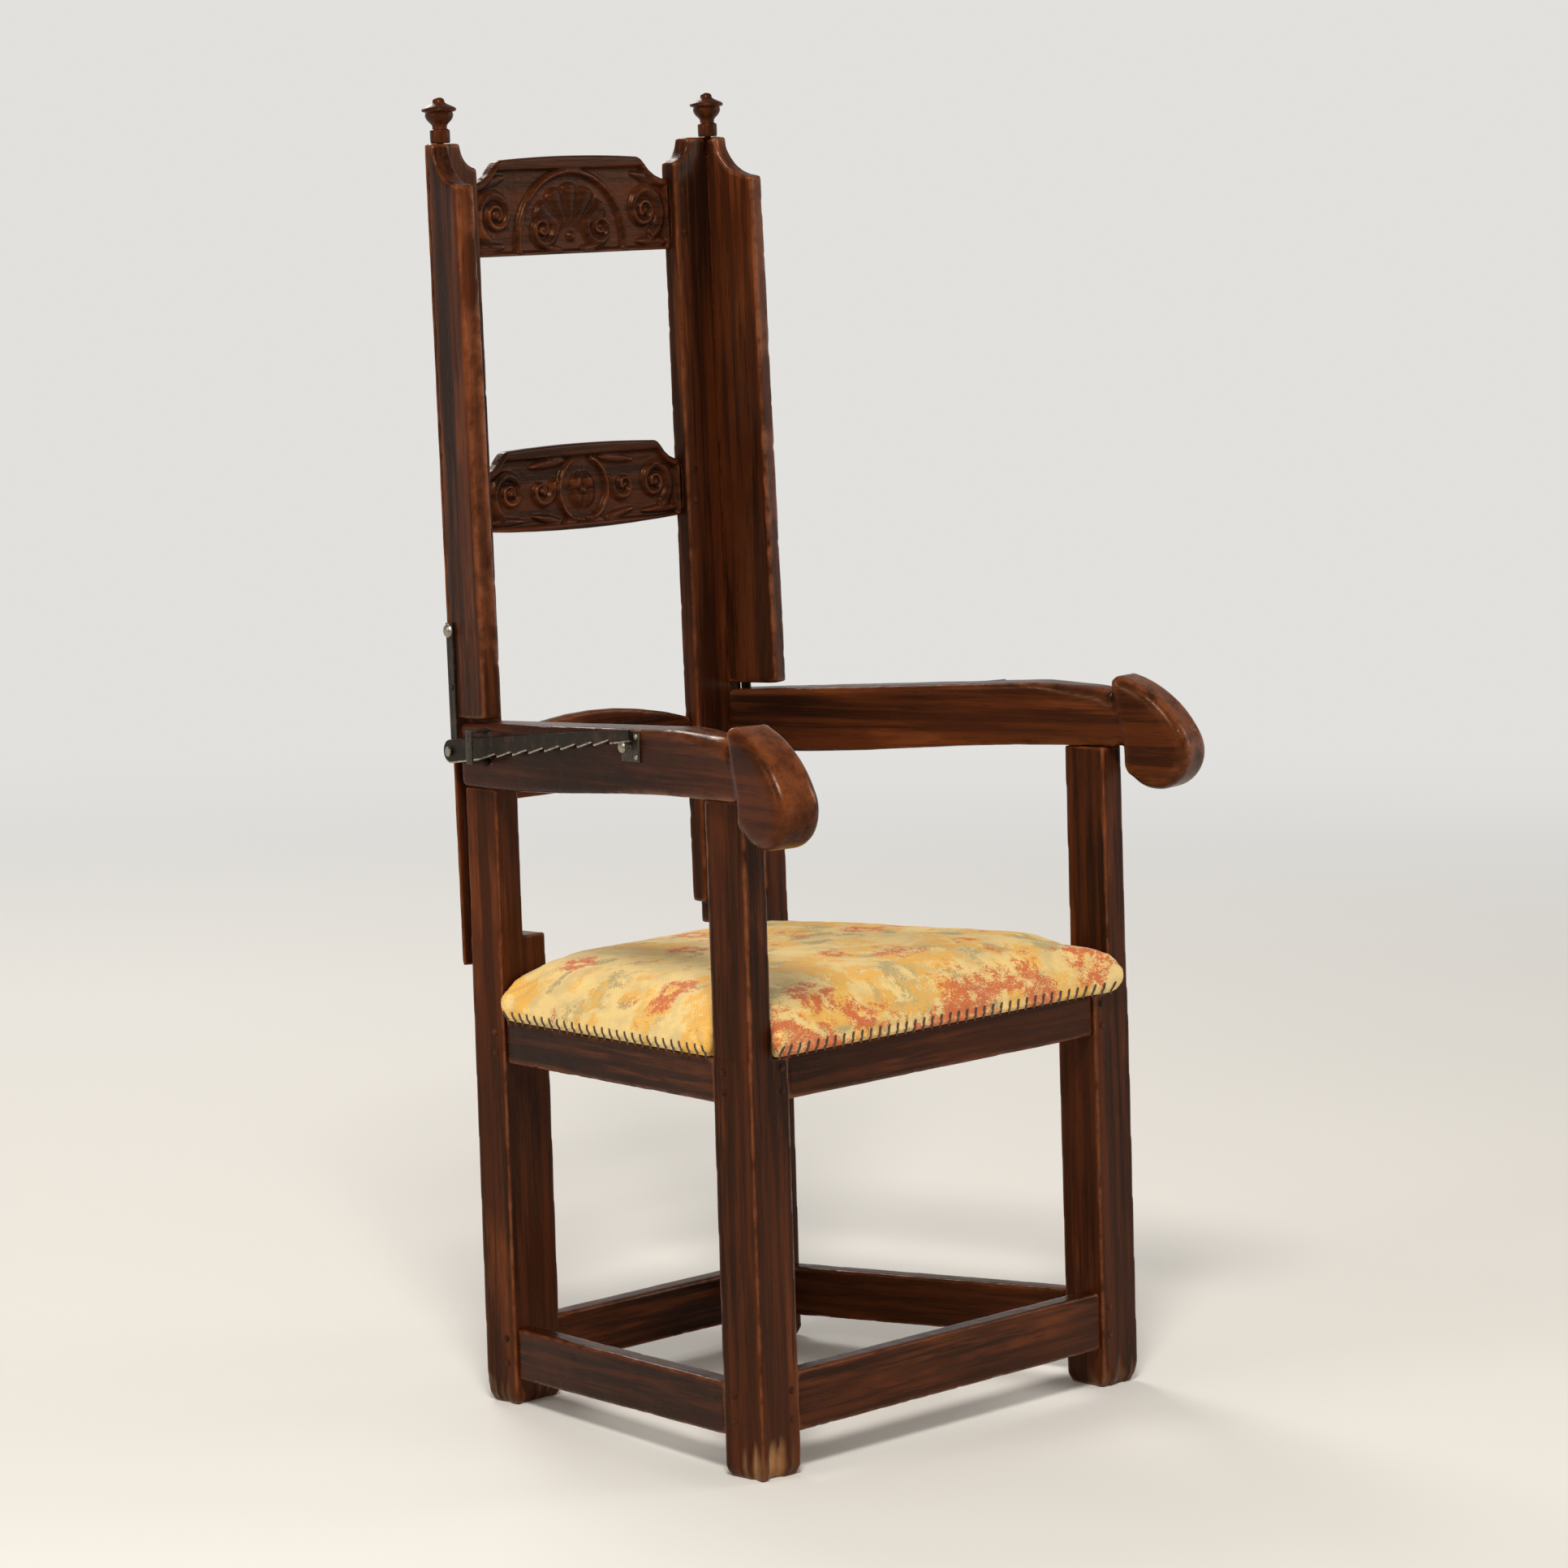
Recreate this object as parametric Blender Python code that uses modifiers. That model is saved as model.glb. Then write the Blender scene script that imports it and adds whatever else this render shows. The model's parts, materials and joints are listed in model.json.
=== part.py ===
"""Sleeping chair: an oak armchair whose winged back is let down on a toothed iron bar at each arm.

Metres, +Z up. The chair faces -Y and the sitter's left is +X. Heights and depths count from the front legs'
front faces at the seat frame's base. The whole chair slopes a little to the rear from there, its legs are cut
level at the floor, and at the end it is centred on the origin.
"""
from math import acos, atan2, cos, pi, radians, sin

import bmesh
import bpy
from mathutils import Matrix, Vector

# Clearances
GAP = 0.0003               # between pieces that touch
PIN_PLAY = 0.0003          # round a pin or a nail
EYE_PLAY = 0.0008          # round the pin in a rack bar's loose eye
PAD_PLAY = 0.0015          # between the seat pad and the posts

# Seat frame
SEAT_SLOPE = radians(2.0)  # fall of the seat to the rear
FRONT_FOOT = 0.006         # front feet below the seat frame's base
FRONT_WIDTH = 0.568        # over the two front legs
REAR_TAPER = 0.140         # rear legs stand this much closer together
SEAT_DEPTH = 0.4445        # front of the front legs to back of the rear legs
FRONT_LEG_WIDTH = 0.054
FRONT_LEG_DEPTH = 0.050
FRONT_POST_WIDTH = 0.030   # front leg above the seat
REAR_LEG_WIDTH = 0.064
REAR_LEG_DEPTH = 0.0425
REAR_POST_WIDTH = 0.032    # rear leg above its shoulder
POST_INSET = 0.001         # posts stand in from the legs' outer faces
SHOULDER_HEIGHT = 0.483    # top of the rear legs' inner shoulder
RAIL_TOP = 0.400
RAIL_HEIGHT = 0.043
RAIL_THICK = 0.026
REVEAL = 0.003             # rails stand in from the legs' outer faces
FLOOR_GAP = 0.034          # floor to the underside of the stretchers
FRONT_STRETCHER_HEIGHT = 0.059
SIDE_STRETCHER_HEIGHT = 0.052
REAR_STRETCHER_HEIGHT = 0.053
STRETCHER_THICK = 0.024
EDGE_WEAR = 0.0025         # rounding of worn edges

# Joinery
TENON_LENGTH = 0.022
TENON_THICK = 0.010
TENON_MARGIN = 0.007       # shoulder above and below a tenon
POST_TENON_WIDTH = 0.016
POST_TENON_DEPTH = 0.024
POST_TENON_HEIGHT = 0.026

# Seat
PAD_CROWN = 0.063          # height of the pad's middle above the rails
PAD_EDGE = 0.030           # height of the pad's edge above the rails
PAD_BULGE = 0.005          # how far the pad's sides stand out past its hem
PAD_HEM_INSET = 0.001      # hem inside the rails' outer faces
PAD_FULLNESS = 6           # how square the crown's shoulders are
PAD_CUTS = {0: 13, 1: 11, 2: 4}  # cuts of the pad's cage along X, Y and Z
WEB_WIDTH = 0.050
WEB_THICK = 0.0025
WEB_DROP = 0.002           # top of the webbing below the rails' top
WEB_COUNT = 3              # straps each way

# Arms
ARM_WIDTH = 0.045
ARM_FLARE = 0.006          # arm's middle outside the front post's middle
ARM_HEIGHT = 0.6495        # underside of the arm at the front post
ARM_FALL = 0.0145          # fall of its underside to the rear
ARM_DEEP_FRONT = 0.0665
ARM_DEEP_REAR = 0.064
ARM_EDGE = 0.005
BAR_STEPS = 6              # steps of the arm's curves
SCROLL_WIDTH = 0.051
SCROLL_RISE = 0.0100       # top of the scroll's large curve above the arm's top
SCROLL_FORWARD = 0.007     # middle of the scroll's large curve ahead of the post's middle
SCROLL_LARGE_RADIUS = 0.117
SCROLL_SMALL_RADIUS = 0.0378
SCROLL_TURN = radians(27)  # where the large curve runs into the small one
SCROLL_START = radians(80)
SCROLL_BACK = 0.043        # scroll's rear under the arm, clear of the post
SCROLL_ROOT = 0.012        # arm's bar runs on into the scroll
SCROLL_EDGE = 0.005
NOSE_START = radians(30)   # where the arm's top begins to round down behind the scroll

# Reclining back
BACK_RAKE = radians(0.7)   # lean of the back from the legs when upright
HINGE_HEIGHT = 0.447
HINGE_GAP = 0.010          # between the rear legs and the stiles
STILE_INSET = 0.0005       # stiles stand in from the rear legs' outer faces
STILE_WIDTH = 0.070        # across the front face
STILE_REAR_WIDTH = 0.046   # across the rear face, which the canted outer edge narrows
STILE_THICK = 0.020
STILE_FOOT = 0.452
STILE_STEP_HEIGHT = 0.024  # step at the inner corner of the foot
STILE_STEP_WIDTH = 0.012
STILE_TOP = 1.277
STILE_SCOOP_WIDTH = 0.022
STILE_SCOOP_HEIGHT = 0.025
WING_THICK = 0.022
WING_CLEAR = 0.005         # foot of the wing above the arm
WING_DEPTH_FOOT = 0.058
WING_DEPTH_TOP = 0.0525
WING_SCOOP = 0.042
BACK_RAIL_THICK = 0.014
BACK_RAIL_INSET = 0.010    # rails stand behind the stiles' front faces
BACK_TENON_THICK = 0.007
CREST_BELOW = 0.018        # crest's ends below the tops of the stiles
CREST_HEIGHT = 0.097
MIDDLE_FOOT = 0.885
MIDDLE_TOP = 0.965
LOWER_FOOT = 0.612
LOWER_TOP = 0.672
CREST_EAR_WIDTH = 0.043    # scooped ends of the two upper rails
CREST_EAR_DROP = 0.024
MIDDLE_EAR_WIDTH = 0.034
MIDDLE_EAR_DROP = 0.021
UPPER_ARCH = 0.003         # rise of the rails' top edges
LOWER_ARCH = 0.020
MIDDLE_SAG = 0.005         # fall of the middle rail's lower edge
# Scooped end of an upper rail, inwards from its end: share of its width, and of its drop
EAR_PROFILE = ((0, 1), (0.20, 0.96), (0.42, 0.81), (0.62, 0.57), (0.78, 0.27), (0.90, 0.08))
FINIAL_HEIGHT = 0.0455
FINIAL_RADIUS = 0.0175
FINIAL_SPIGOT = 0.018
SPIGOT_RADIUS = 0.0035
FINIAL_FORWARD = 0.001     # finial's middle ahead of the stile's front face

# Hinges
HINGE_WIDTH = 0.040
LEAF_HEIGHT = 0.052
LEAF_THICK = 0.002
BARREL_RADIUS = 0.0043
HINGE_PIN_RADIUS = 0.0020
TAB_INSET = 0.0006         # leaf narrower than its knuckles at each end
LEAF_RELIEF = 0.0012       # leaf's edge clear of the other leaf's knuckle

# Rack bars
STRAP_WIDTH = 0.011
STRAP_THICK = 0.0025
STRAP_BACK = 0.006         # middle of the strap ahead of the wing's rear edge
STRAP_RISE = 0.096         # strap's top, knob and nail above the wing's foot
KNOB_PLACE = 0.088
STRAP_NAIL_PLACE = 0.031
STRAP_TAIL = 0.012         # strap below the pivot
PIVOT_BELOW = 0.028        # pivot below the arm's top at its rear
RACK_THICK = 0.0035
RACK_PLAY = 0.0018         # each side of the loose eye
RACK_PIN_RADIUS = 0.0030
RACK_PIN_HEAD = 0.0051
RACK_REAR_HALF = 0.012     # half the bar's height at its eye and at its tip
RACK_TIP_HALF = 0.006
RACK_TEETH = 8
TOOTH_PITCH = 0.0285
TOOTH_DEPTH = 0.0040
RACK_FIRST_TOOTH = 0.054   # first tooth ahead of the pivot
RACK_TIP = 0.006           # bar past the rest's stud
CATCH_AHEAD = 0.055        # catch staple ahead of the pivot, along the bar
CATCH_BELOW = 0.0120       # opening below and above the bar's middle line
CATCH_ABOVE = 0.0165
CATCH_ROOM = 0.0115        # opening outside the bar
CATCH_STOCK = 0.0025
CATCH_WIDTH = 0.010
CATCH_SPIKE = 0.010        # staple's legs in the arm
REST_BACK = 0.126          # rest's stud behind the middle of the front post
REST_BELOW = 0.0115        # bar's middle line over the stud, below the arm's front top
STUD_RADIUS = 0.0038
STUD_HEAD = 0.0060
STUD_PAST = 0.0030         # stud's neck past the bar
PLATE_HEIGHT = 0.030
PLATE_LENGTH = 0.030
PLATE_THICK = 0.0015
RIVET_MARGIN = 0.0050

# Nails
NAIL_HEAD = 0.0032
NAIL_SHANK = 0.0012
NAIL_LENGTH = 0.010
NAIL_RISE = 0.0018
KNOB_HEAD = 0.0075
KNOB_RISE = 0.0050

# Places worked out from the driving dimensions
REAR_WIDTH = FRONT_WIDTH - REAR_TAPER
ARM_UNDER_FRONT = ARM_HEIGHT
ARM_UNDER_REAR = ARM_HEIGHT - ARM_FALL
ARM_TOP_FRONT = ARM_UNDER_FRONT + ARM_DEEP_FRONT
ARM_TOP_REAR = ARM_UNDER_REAR + ARM_DEEP_REAR
SCROLL_TOP = ARM_TOP_FRONT + SCROLL_RISE
WING_FOOT = ARM_TOP_REAR + WING_CLEAR
CREST_TOP = STILE_TOP - CREST_BELOW
CREST_FOOT = CREST_TOP - CREST_HEIGHT
STRAP_TOP = WING_FOOT + STRAP_RISE
STRAP_KNOB = WING_FOOT + KNOB_PLACE
STRAP_NAIL = WING_FOOT + STRAP_NAIL_PLACE
PIVOT_HEIGHT = ARM_TOP_REAR - PIVOT_BELOW
REST_HEIGHT = ARM_TOP_FRONT - REST_BELOW
REAR_LEG_X = (REAR_WIDTH - REAR_LEG_WIDTH) / 2
FRONT_POST_X = FRONT_WIDTH / 2 - POST_INSET - FRONT_POST_WIDTH / 2
REAR_POST_X = REAR_WIDTH / 2 - POST_INSET - REAR_POST_WIDTH / 2
FRONT_POST_Y = FRONT_LEG_DEPTH / 2
REAR_POST_Y = SEAT_DEPTH - REAR_LEG_DEPTH / 2
REAR_LEG_FRONT = SEAT_DEPTH - REAR_LEG_DEPTH
ARM_FRONT_X = FRONT_POST_X + ARM_FLARE
POST_SPAN = Vector((ARM_FRONT_X - REAR_POST_X, REAR_POST_Y - FRONT_POST_Y))
SPLAY = atan2(POST_SPAN.x, POST_SPAN.y)
ARM_REACH = POST_SPAN.length + REAR_LEG_DEPTH / 2 / cos(SPLAY)
HINGE_Y = SEAT_DEPTH + HINGE_GAP / 2
STILE_FACE = HINGE_GAP / 2                                # stile's front, behind the hinge axis
STILE_OUT = REAR_WIDTH / 2 - STILE_INSET
STILE_IN = STILE_OUT - STILE_WIDTH
WING_X = STILE_OUT - WING_THICK / 2 / cos(SPLAY)
STRAP_OUT = WING_THICK / 2 + GAP                          # strap's inner face from the wing's middle
RACK_OUT = STRAP_OUT + STRAP_THICK + RACK_PLAY + RACK_THICK / 2
FRONT_INNER = FRONT_WIDTH / 2 - FRONT_LEG_WIDTH
REAR_INNER = REAR_WIDTH / 2 - REAR_LEG_WIDTH
RAIL_FOOT = RAIL_TOP - RAIL_HEIGHT
LEG_SPARE = 4 * FRONT_FOOT                                # length left on a leg for the level cut
KNUCKLE = HINGE_WIDTH / 3
NAIL_PLACE = LEAF_HEIGHT * 0.65                           # nails' distance from the hinge axis
RELIEF = BARREL_RADIUS + LEAF_RELIEF
SIDES = (("right", -1), ("left", 1))

# Turns that stand an outline up: across the chair, and along an arm with its first axis forward
FLAT = Matrix.Identity(4)
ACROSS = Matrix.Rotation(pi / 2, 4, "X")
ALONG = Matrix.Rotation(-pi / 2, 4, "Z") @ ACROSS


def start_scene():
    """Empty the scene and make the two collections."""
    for old in list(bpy.data.objects):
        bpy.data.objects.remove(old)
    made = []
    for name in ("sleeping_chair", "cutters"):
        collection = bpy.data.collections.new(name)
        bpy.context.scene.collection.children.link(collection)
        made.append(collection)
    return made


PARTS, CUTTERS = start_scene()


def finish(name, colour, roughness, metallic=0.0):
    """A plain surface finish."""
    made = bpy.data.materials.new(name)
    made.use_nodes = True
    shader = made.node_tree.nodes["Principled BSDF"]
    shader.inputs["Base Color"].default_value = (*colour, 1)
    shader.inputs["Roughness"].default_value = roughness
    shader.inputs["Metallic"].default_value = metallic
    return made


OAK = finish("waxed_oak", (0.060, 0.022, 0.011), 0.42)
IRON = finish("forged_iron", (0.035, 0.030, 0.028), 0.50, 0.9)
NEEDLEWORK = finish("needlework", (0.62, 0.50, 0.30), 0.85)
WEBBING = finish("jute_webbing", (0.33, 0.23, 0.12), 0.90)


def place(name, mesh, material=None, parent=None, location=(0, 0, 0)):
    """Put a mesh in the chair; one without a material is a cutter."""
    made = bpy.data.objects.new(name, mesh)
    made.parent = parent
    made.location = location
    if material:
        mesh.materials.append(material)
        PARTS.objects.link(made)
    else:
        made.hide_render = True
        made.display_type = "WIRE"
        CUTTERS.objects.link(made)
    return made


def empty(name, parent=None, location=(0, 0, 0), turn=(0, 0, 0)):
    """A frame that carries pieces."""
    made = place(name, None, None, parent, location)
    made.rotation_euler = turn
    return made


def mesh_of(bm, name):
    """Keep a bmesh as a mesh with its faces pointing out."""
    bmesh.ops.recalc_face_normals(bm, faces=bm.faces)
    mesh = bpy.data.meshes.new(name)
    bm.to_mesh(mesh)
    bm.free()
    return mesh


def boxes(name, *spans):
    """One or more boxes, each given as (x, x, y, y, z, z)."""
    bm = bmesh.new()
    for x0, x1, y0, y1, z0, z1 in spans:
        middle = Vector((x0 + x1, y0 + y1, z0 + z1)) / 2
        size = Matrix.Diagonal((abs(x1 - x0), abs(y1 - y0), abs(z1 - z0), 1))
        bmesh.ops.create_cube(bm, size=1, matrix=Matrix.Translation(middle) @ size)
    return mesh_of(bm, name)


def rods(name, radius, length, ends, sides=10):
    """Rods of one size, each from an end point along a direction."""
    bm = bmesh.new()
    for start, along in ends:
        along = Vector(along).normalized()
        turn = along.to_track_quat("Z", "Y").to_matrix().to_4x4()
        middle = Matrix.Translation(Vector(start) + along * length / 2)
        bmesh.ops.create_cone(bm, cap_ends=True, segments=sides, radius1=radius, radius2=radius,
                              depth=length, matrix=middle @ turn)
    return mesh_of(bm, name)


def prism(name, points, thickness, turn=ACROSS):
    """A flat outline with thickness, stood up by a turn."""
    curve = bpy.data.curves.new(name, "CURVE")
    curve.dimensions = "2D"
    curve.fill_mode = "BOTH"
    curve.extrude = thickness / 2
    spline = curve.splines.new("POLY")
    spline.points.add(len(points) - 1)
    for point, (x, y) in zip(spline.points, points):
        point.co = (x, y, 0, 1)
    spline.use_cyclic_u = True
    outline = bpy.data.objects.new(name, curve)
    CUTTERS.objects.link(outline)
    graph = bpy.context.evaluated_depsgraph_get()
    flat = bpy.data.meshes.new_from_object(outline.evaluated_get(graph))
    bpy.data.objects.remove(outline)
    bm = bmesh.new()
    bm.from_mesh(flat)
    bmesh.ops.remove_doubles(bm, verts=bm.verts, dist=1e-6)
    bmesh.ops.dissolve_limit(bm, angle_limit=0.001, verts=bm.verts, edges=bm.edges)
    bm.transform(turn)
    return mesh_of(bm, name)


def profile_mesh(name, profile):
    """A line of (radius, height) points from top to bottom, to be turned."""
    mesh = bpy.data.meshes.new(name)
    mesh.from_pydata([(r, 0, z) for r, z in profile], [(i, i + 1) for i in range(len(profile) - 1)], [])
    return mesh


def spin(made, steps):
    """Turn a profile round its own axis."""
    screw = made.modifiers.new("turned", "SCREW")
    screw.steps = steps
    screw.render_steps = steps
    screw.use_merge_vertices = True
    screw.merge_threshold = 0.00001
    screw.use_smooth_shade = True
    return made


def ease(made, width=EDGE_WEAR, segments=2):
    """Round a piece's worn edges."""
    bevel = made.modifiers.new("worn edges", "BEVEL")
    bevel.width = width
    bevel.segments = segments
    bevel.limit_method = "ANGLE"
    bevel.angle_limit = radians(40)
    return made


def shape(made, other, operation="DIFFERENCE"):
    """Cut a piece by another, or join the two."""
    boolean = made.modifiers.new(other.name, "BOOLEAN")
    boolean.operation = operation
    boolean.object = other
    boolean.solver = "EXACT"
    return made


def arc(middle, radius, start, end, steps):
    """Points along an arc from one angle to another."""
    turn = (end - start) / steps
    return [(middle[0] + radius * cos(start + i * turn), middle[1] + radius * sin(start + i * turn))
            for i in range(steps + 1)]


def blend(low, high, share):
    """Ease smoothly from one value to another."""
    return low + (high - low) * (1 - cos(pi * share)) / 2


# Frames that carry the pieces
chair = empty("chair", None, (0, 0, FRONT_FOOT * cos(SEAT_SLOPE)), (-SEAT_SLOPE, 0, 0))
back = empty("back_pivot", chair, (0, HINGE_Y, HINGE_HEIGHT), (-BACK_RAKE, 0, 0))
arm_frames = {}
wing_frames = {}
for side, sign in SIDES:
    arm_frames[side] = empty(f"arm_frame_{side}", chair, (sign * ARM_FRONT_X, FRONT_POST_Y, 0),
                             (0, 0, sign * SPLAY))
    wing_frames[side] = empty(f"wing_frame_{side}", back, (sign * WING_X, STILE_FACE, -HINGE_HEIGHT),
                              (0, 0, sign * SPLAY))


def side_plan(sign, thickness):
    """Plan of a side rail: its outer face runs from leg to leg, and its ends lie square on them."""
    front_y = FRONT_LEG_DEPTH + GAP
    rear_y = REAR_LEG_FRONT - GAP
    front_x = FRONT_WIDTH / 2 - REVEAL
    rear_x = REAR_WIDTH / 2 - REVEAL
    across = thickness / cos(atan2(front_x - rear_x, rear_y - front_y))
    return [(sign * front_x, front_y), (sign * rear_x, rear_y),
            (sign * (rear_x - across), rear_y), (sign * (front_x - across), front_y)]


def cross_tenons(y, leg_inner, foot, top, thickness=TENON_THICK):
    """Tenons of a rail that runs across: the tenons and their mortises."""
    z0, z1, half = foot + TENON_MARGIN, top - TENON_MARGIN, thickness / 2
    tenons, mortises = [], []
    for sign in (-1, 1):
        root = sign * (leg_inner - TENON_LENGTH / 2)
        end = sign * (leg_inner + TENON_LENGTH)
        tenons.append((root, end, y - half, y + half, z0, z1))
        mortises.append((root, end + sign * GAP, y - half - GAP, y + half + GAP, z0 - GAP, z1 + GAP))
    return tenons, mortises


def side_tenons(sign, plan, foot, top):
    """Tenons of a side rail, which run straight into the front and rear legs."""
    z0, z1 = foot + TENON_MARGIN, top - TENON_MARGIN
    tenons, mortises = [], []
    for (outer_x, y), (inner_x, _), into in ((plan[0], plan[3], -1), (plan[1], plan[2], 1)):
        x = (outer_x + inner_x) / 2
        root = y - into * TENON_LENGTH / 2
        end = y + into * TENON_LENGTH
        tenons.append((x - TENON_THICK / 2, x + TENON_THICK / 2, root, end, z0, z1))
        mortises.append((x - TENON_THICK / 2 - GAP, x + TENON_THICK / 2 + GAP, root, end + into * 2 * GAP,
                         z0 - GAP, z1 + GAP))
    return tenons, mortises


# Rails and stretchers: name, outline in plan or span across, foot, top
mortise_spans = []


def cross_rail(name, front, thickness, leg_inner, foot, top):
    """A rail or stretcher across the chair, its front face at a given depth."""
    middle = front + thickness / 2
    body = boxes(name, (GAP - leg_inner, leg_inner - GAP, front, front + thickness, foot, top))
    made = ease(place(name, body, OAK, chair))
    tenons, mortises = cross_tenons(middle, leg_inner, foot, top)
    shape(made, place(f"{name}_tenons", boxes(name, *tenons), None, chair), "UNION")
    mortise_spans.extend(mortises)


def side_rail(name, sign, thickness, foot, top):
    """A rail or stretcher along one side, set between its splayed legs."""
    plan = side_plan(sign, thickness)
    body = prism(name, plan, top - foot, FLAT)
    body.transform(Matrix.Translation((0, 0, (foot + top) / 2)))
    made = ease(place(name, body, OAK, chair))
    tenons, mortises = side_tenons(sign, plan, foot, top)
    shape(made, place(f"{name}_tenons", boxes(name, *tenons), None, chair), "UNION")
    mortise_spans.extend(mortises)


cross_rail("front_seat_rail", REVEAL, RAIL_THICK, FRONT_INNER, RAIL_FOOT, RAIL_TOP)
cross_rail("rear_seat_rail", SEAT_DEPTH - REVEAL - RAIL_THICK, RAIL_THICK, REAR_INNER, RAIL_FOOT, RAIL_TOP)
cross_rail("front_stretcher", REVEAL, STRETCHER_THICK, FRONT_INNER, FLOOR_GAP,
           FLOOR_GAP + FRONT_STRETCHER_HEIGHT)
cross_rail("rear_stretcher", SEAT_DEPTH - REVEAL - STRETCHER_THICK, STRETCHER_THICK, REAR_INNER, FLOOR_GAP,
           FLOOR_GAP + REAR_STRETCHER_HEIGHT)
for side, sign in SIDES:
    side_rail(f"side_seat_rail_{side}", sign, RAIL_THICK, RAIL_FOOT, RAIL_TOP)
    side_rail(f"side_stretcher_{side}", sign, STRETCHER_THICK, FLOOR_GAP, FLOOR_GAP + SIDE_STRETCHER_HEIGHT)

# Legs, each with its post and the tenon that carries the arm
mortises = place("rail_mortises", boxes("rail_mortises", *mortise_spans), None, chair)
below_floor = (-FRONT_WIDTH, FRONT_WIDTH, -2 * SEAT_DEPTH, 2 * SEAT_DEPTH, -RAIL_TOP, 0)
floor = place("floor", boxes("floor", below_floor))
post_mortise_spans = []
legs = {}


def leg(name, sign, outer, width, depth, front, step, post_width, post_top):
    """A leg: square below its step, slimmer above, with a tenon on top."""
    inner, post_out = outer - width, outer - POST_INSET
    post_in = post_out - post_width
    points = [(outer, -LEG_SPARE), (outer, step), (post_out, step + POST_INSET), (post_out, post_top),
              (post_in, post_top), (post_in, step), (inner, step), (inner, -LEG_SPARE)]
    body = prism(name, [(sign * x, z) for x, z in points], depth)
    middle = front + depth / 2
    made = ease(place(name, body, OAK, chair, (0, middle, 0)))
    x = sign * (post_in + post_out) / 2
    half_x, half_y = POST_TENON_WIDTH / 2, POST_TENON_DEPTH / 2
    root, top = post_top - POST_TENON_HEIGHT / 2, post_top + POST_TENON_HEIGHT
    tenon = boxes(name, (x - half_x, x + half_x, middle - half_y, middle + half_y, root, top))
    shape(made, place(f"{name}_tenon", tenon, None, chair), "UNION")
    post_mortise_spans.append((x - half_x - GAP, x + half_x + GAP, middle - half_y - GAP,
                               middle + half_y + GAP, root, top + GAP))
    legs[name] = shape(shape(made, mortises), floor)


for side, sign in SIDES:
    leg(f"front_leg_{side}", sign, FRONT_WIDTH / 2, FRONT_LEG_WIDTH, FRONT_LEG_DEPTH, 0, RAIL_TOP,
        FRONT_POST_WIDTH, ARM_UNDER_FRONT - GAP)
    leg(f"rear_leg_{side}", sign, REAR_WIDTH / 2, REAR_LEG_WIDTH, REAR_LEG_DEPTH, REAR_LEG_FRONT,
        SHOULDER_HEIGHT, REAR_POST_WIDTH, ARM_UNDER_REAR - GAP)

# Arms: a bar along the posts and a scroll over its end
post_mortises = place("post_mortises", boxes("post_mortises", *post_mortise_spans), None, chair)


def arm_outline():
    """Side of the arm's bar; the first axis runs forward from the front post's middle."""
    seat = FRONT_LEG_DEPTH / 2 + ARM_EDGE
    rear_flat = REAR_LEG_DEPTH + ARM_EDGE - ARM_REACH
    under = [(-ARM_REACH, ARM_UNDER_REAR)]
    for i in range(BAR_STEPS + 1):
        share = i / BAR_STEPS
        under.append((rear_flat + (-seat - rear_flat) * share, blend(ARM_UNDER_REAR, ARM_UNDER_FRONT, share)))
    half = (ARM_TOP_FRONT - ARM_UNDER_FRONT) / 2
    root = SCROLL_BACK + SCROLL_ROOT
    nose = arc((SCROLL_FORWARD, ARM_UNDER_FRONT + half), half, NOSE_START, pi / 2, BAR_STEPS)
    under += [(seat, ARM_UNDER_FRONT), (root, ARM_UNDER_FRONT + SCROLL_EDGE), (root, ARM_UNDER_FRONT + half)]
    return under + nose + [(0, ARM_TOP_FRONT), (-ARM_REACH, ARM_TOP_REAR)]


def scroll_outline():
    """Side of the scroll: a large curve over the top that runs into a small one below."""
    large = (SCROLL_FORWARD, SCROLL_TOP - SCROLL_LARGE_RADIUS)
    apart = SCROLL_LARGE_RADIUS - SCROLL_SMALL_RADIUS
    small = (large[0] + apart * cos(SCROLL_TURN), large[1] + apart * sin(SCROLL_TURN))
    over = arc(large, SCROLL_LARGE_RADIUS, SCROLL_START, SCROLL_TURN, 10)
    end = acos(min(1, (small[0] - SCROLL_BACK) / SCROLL_SMALL_RADIUS)) - pi
    under = arc(small, SCROLL_SMALL_RADIUS, SCROLL_TURN, end, 16)
    return over + under[1:] + [(SCROLL_BACK, ARM_UNDER_FRONT + SCROLL_EDGE)]


arms = {}
for side, sign in SIDES:
    arm = ease(place(f"arm_{side}", prism("arm", arm_outline(), ARM_WIDTH, ALONG), OAK, arm_frames[side]),
               ARM_EDGE, 3)
    scroll = place(f"arm_scroll_{side}", prism("scroll", scroll_outline(), SCROLL_WIDTH, ALONG), None,
                   arm_frames[side])
    shape(arm, ease(scroll, SCROLL_EDGE, 3), "UNION")
    arms[side] = shape(arm, post_mortises)


# Seat: webbing between the rails and a stuffed pad over them
def side_inner(y):
    """Inner face of the side rails at a depth, from the middle of the chair."""
    plan = side_plan(1, RAIL_THICK)
    (x0, y0), (x1, y1) = plan[3], plan[2]
    return x0 + (x1 - x0) * (y - y0) / (y1 - y0)


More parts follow.
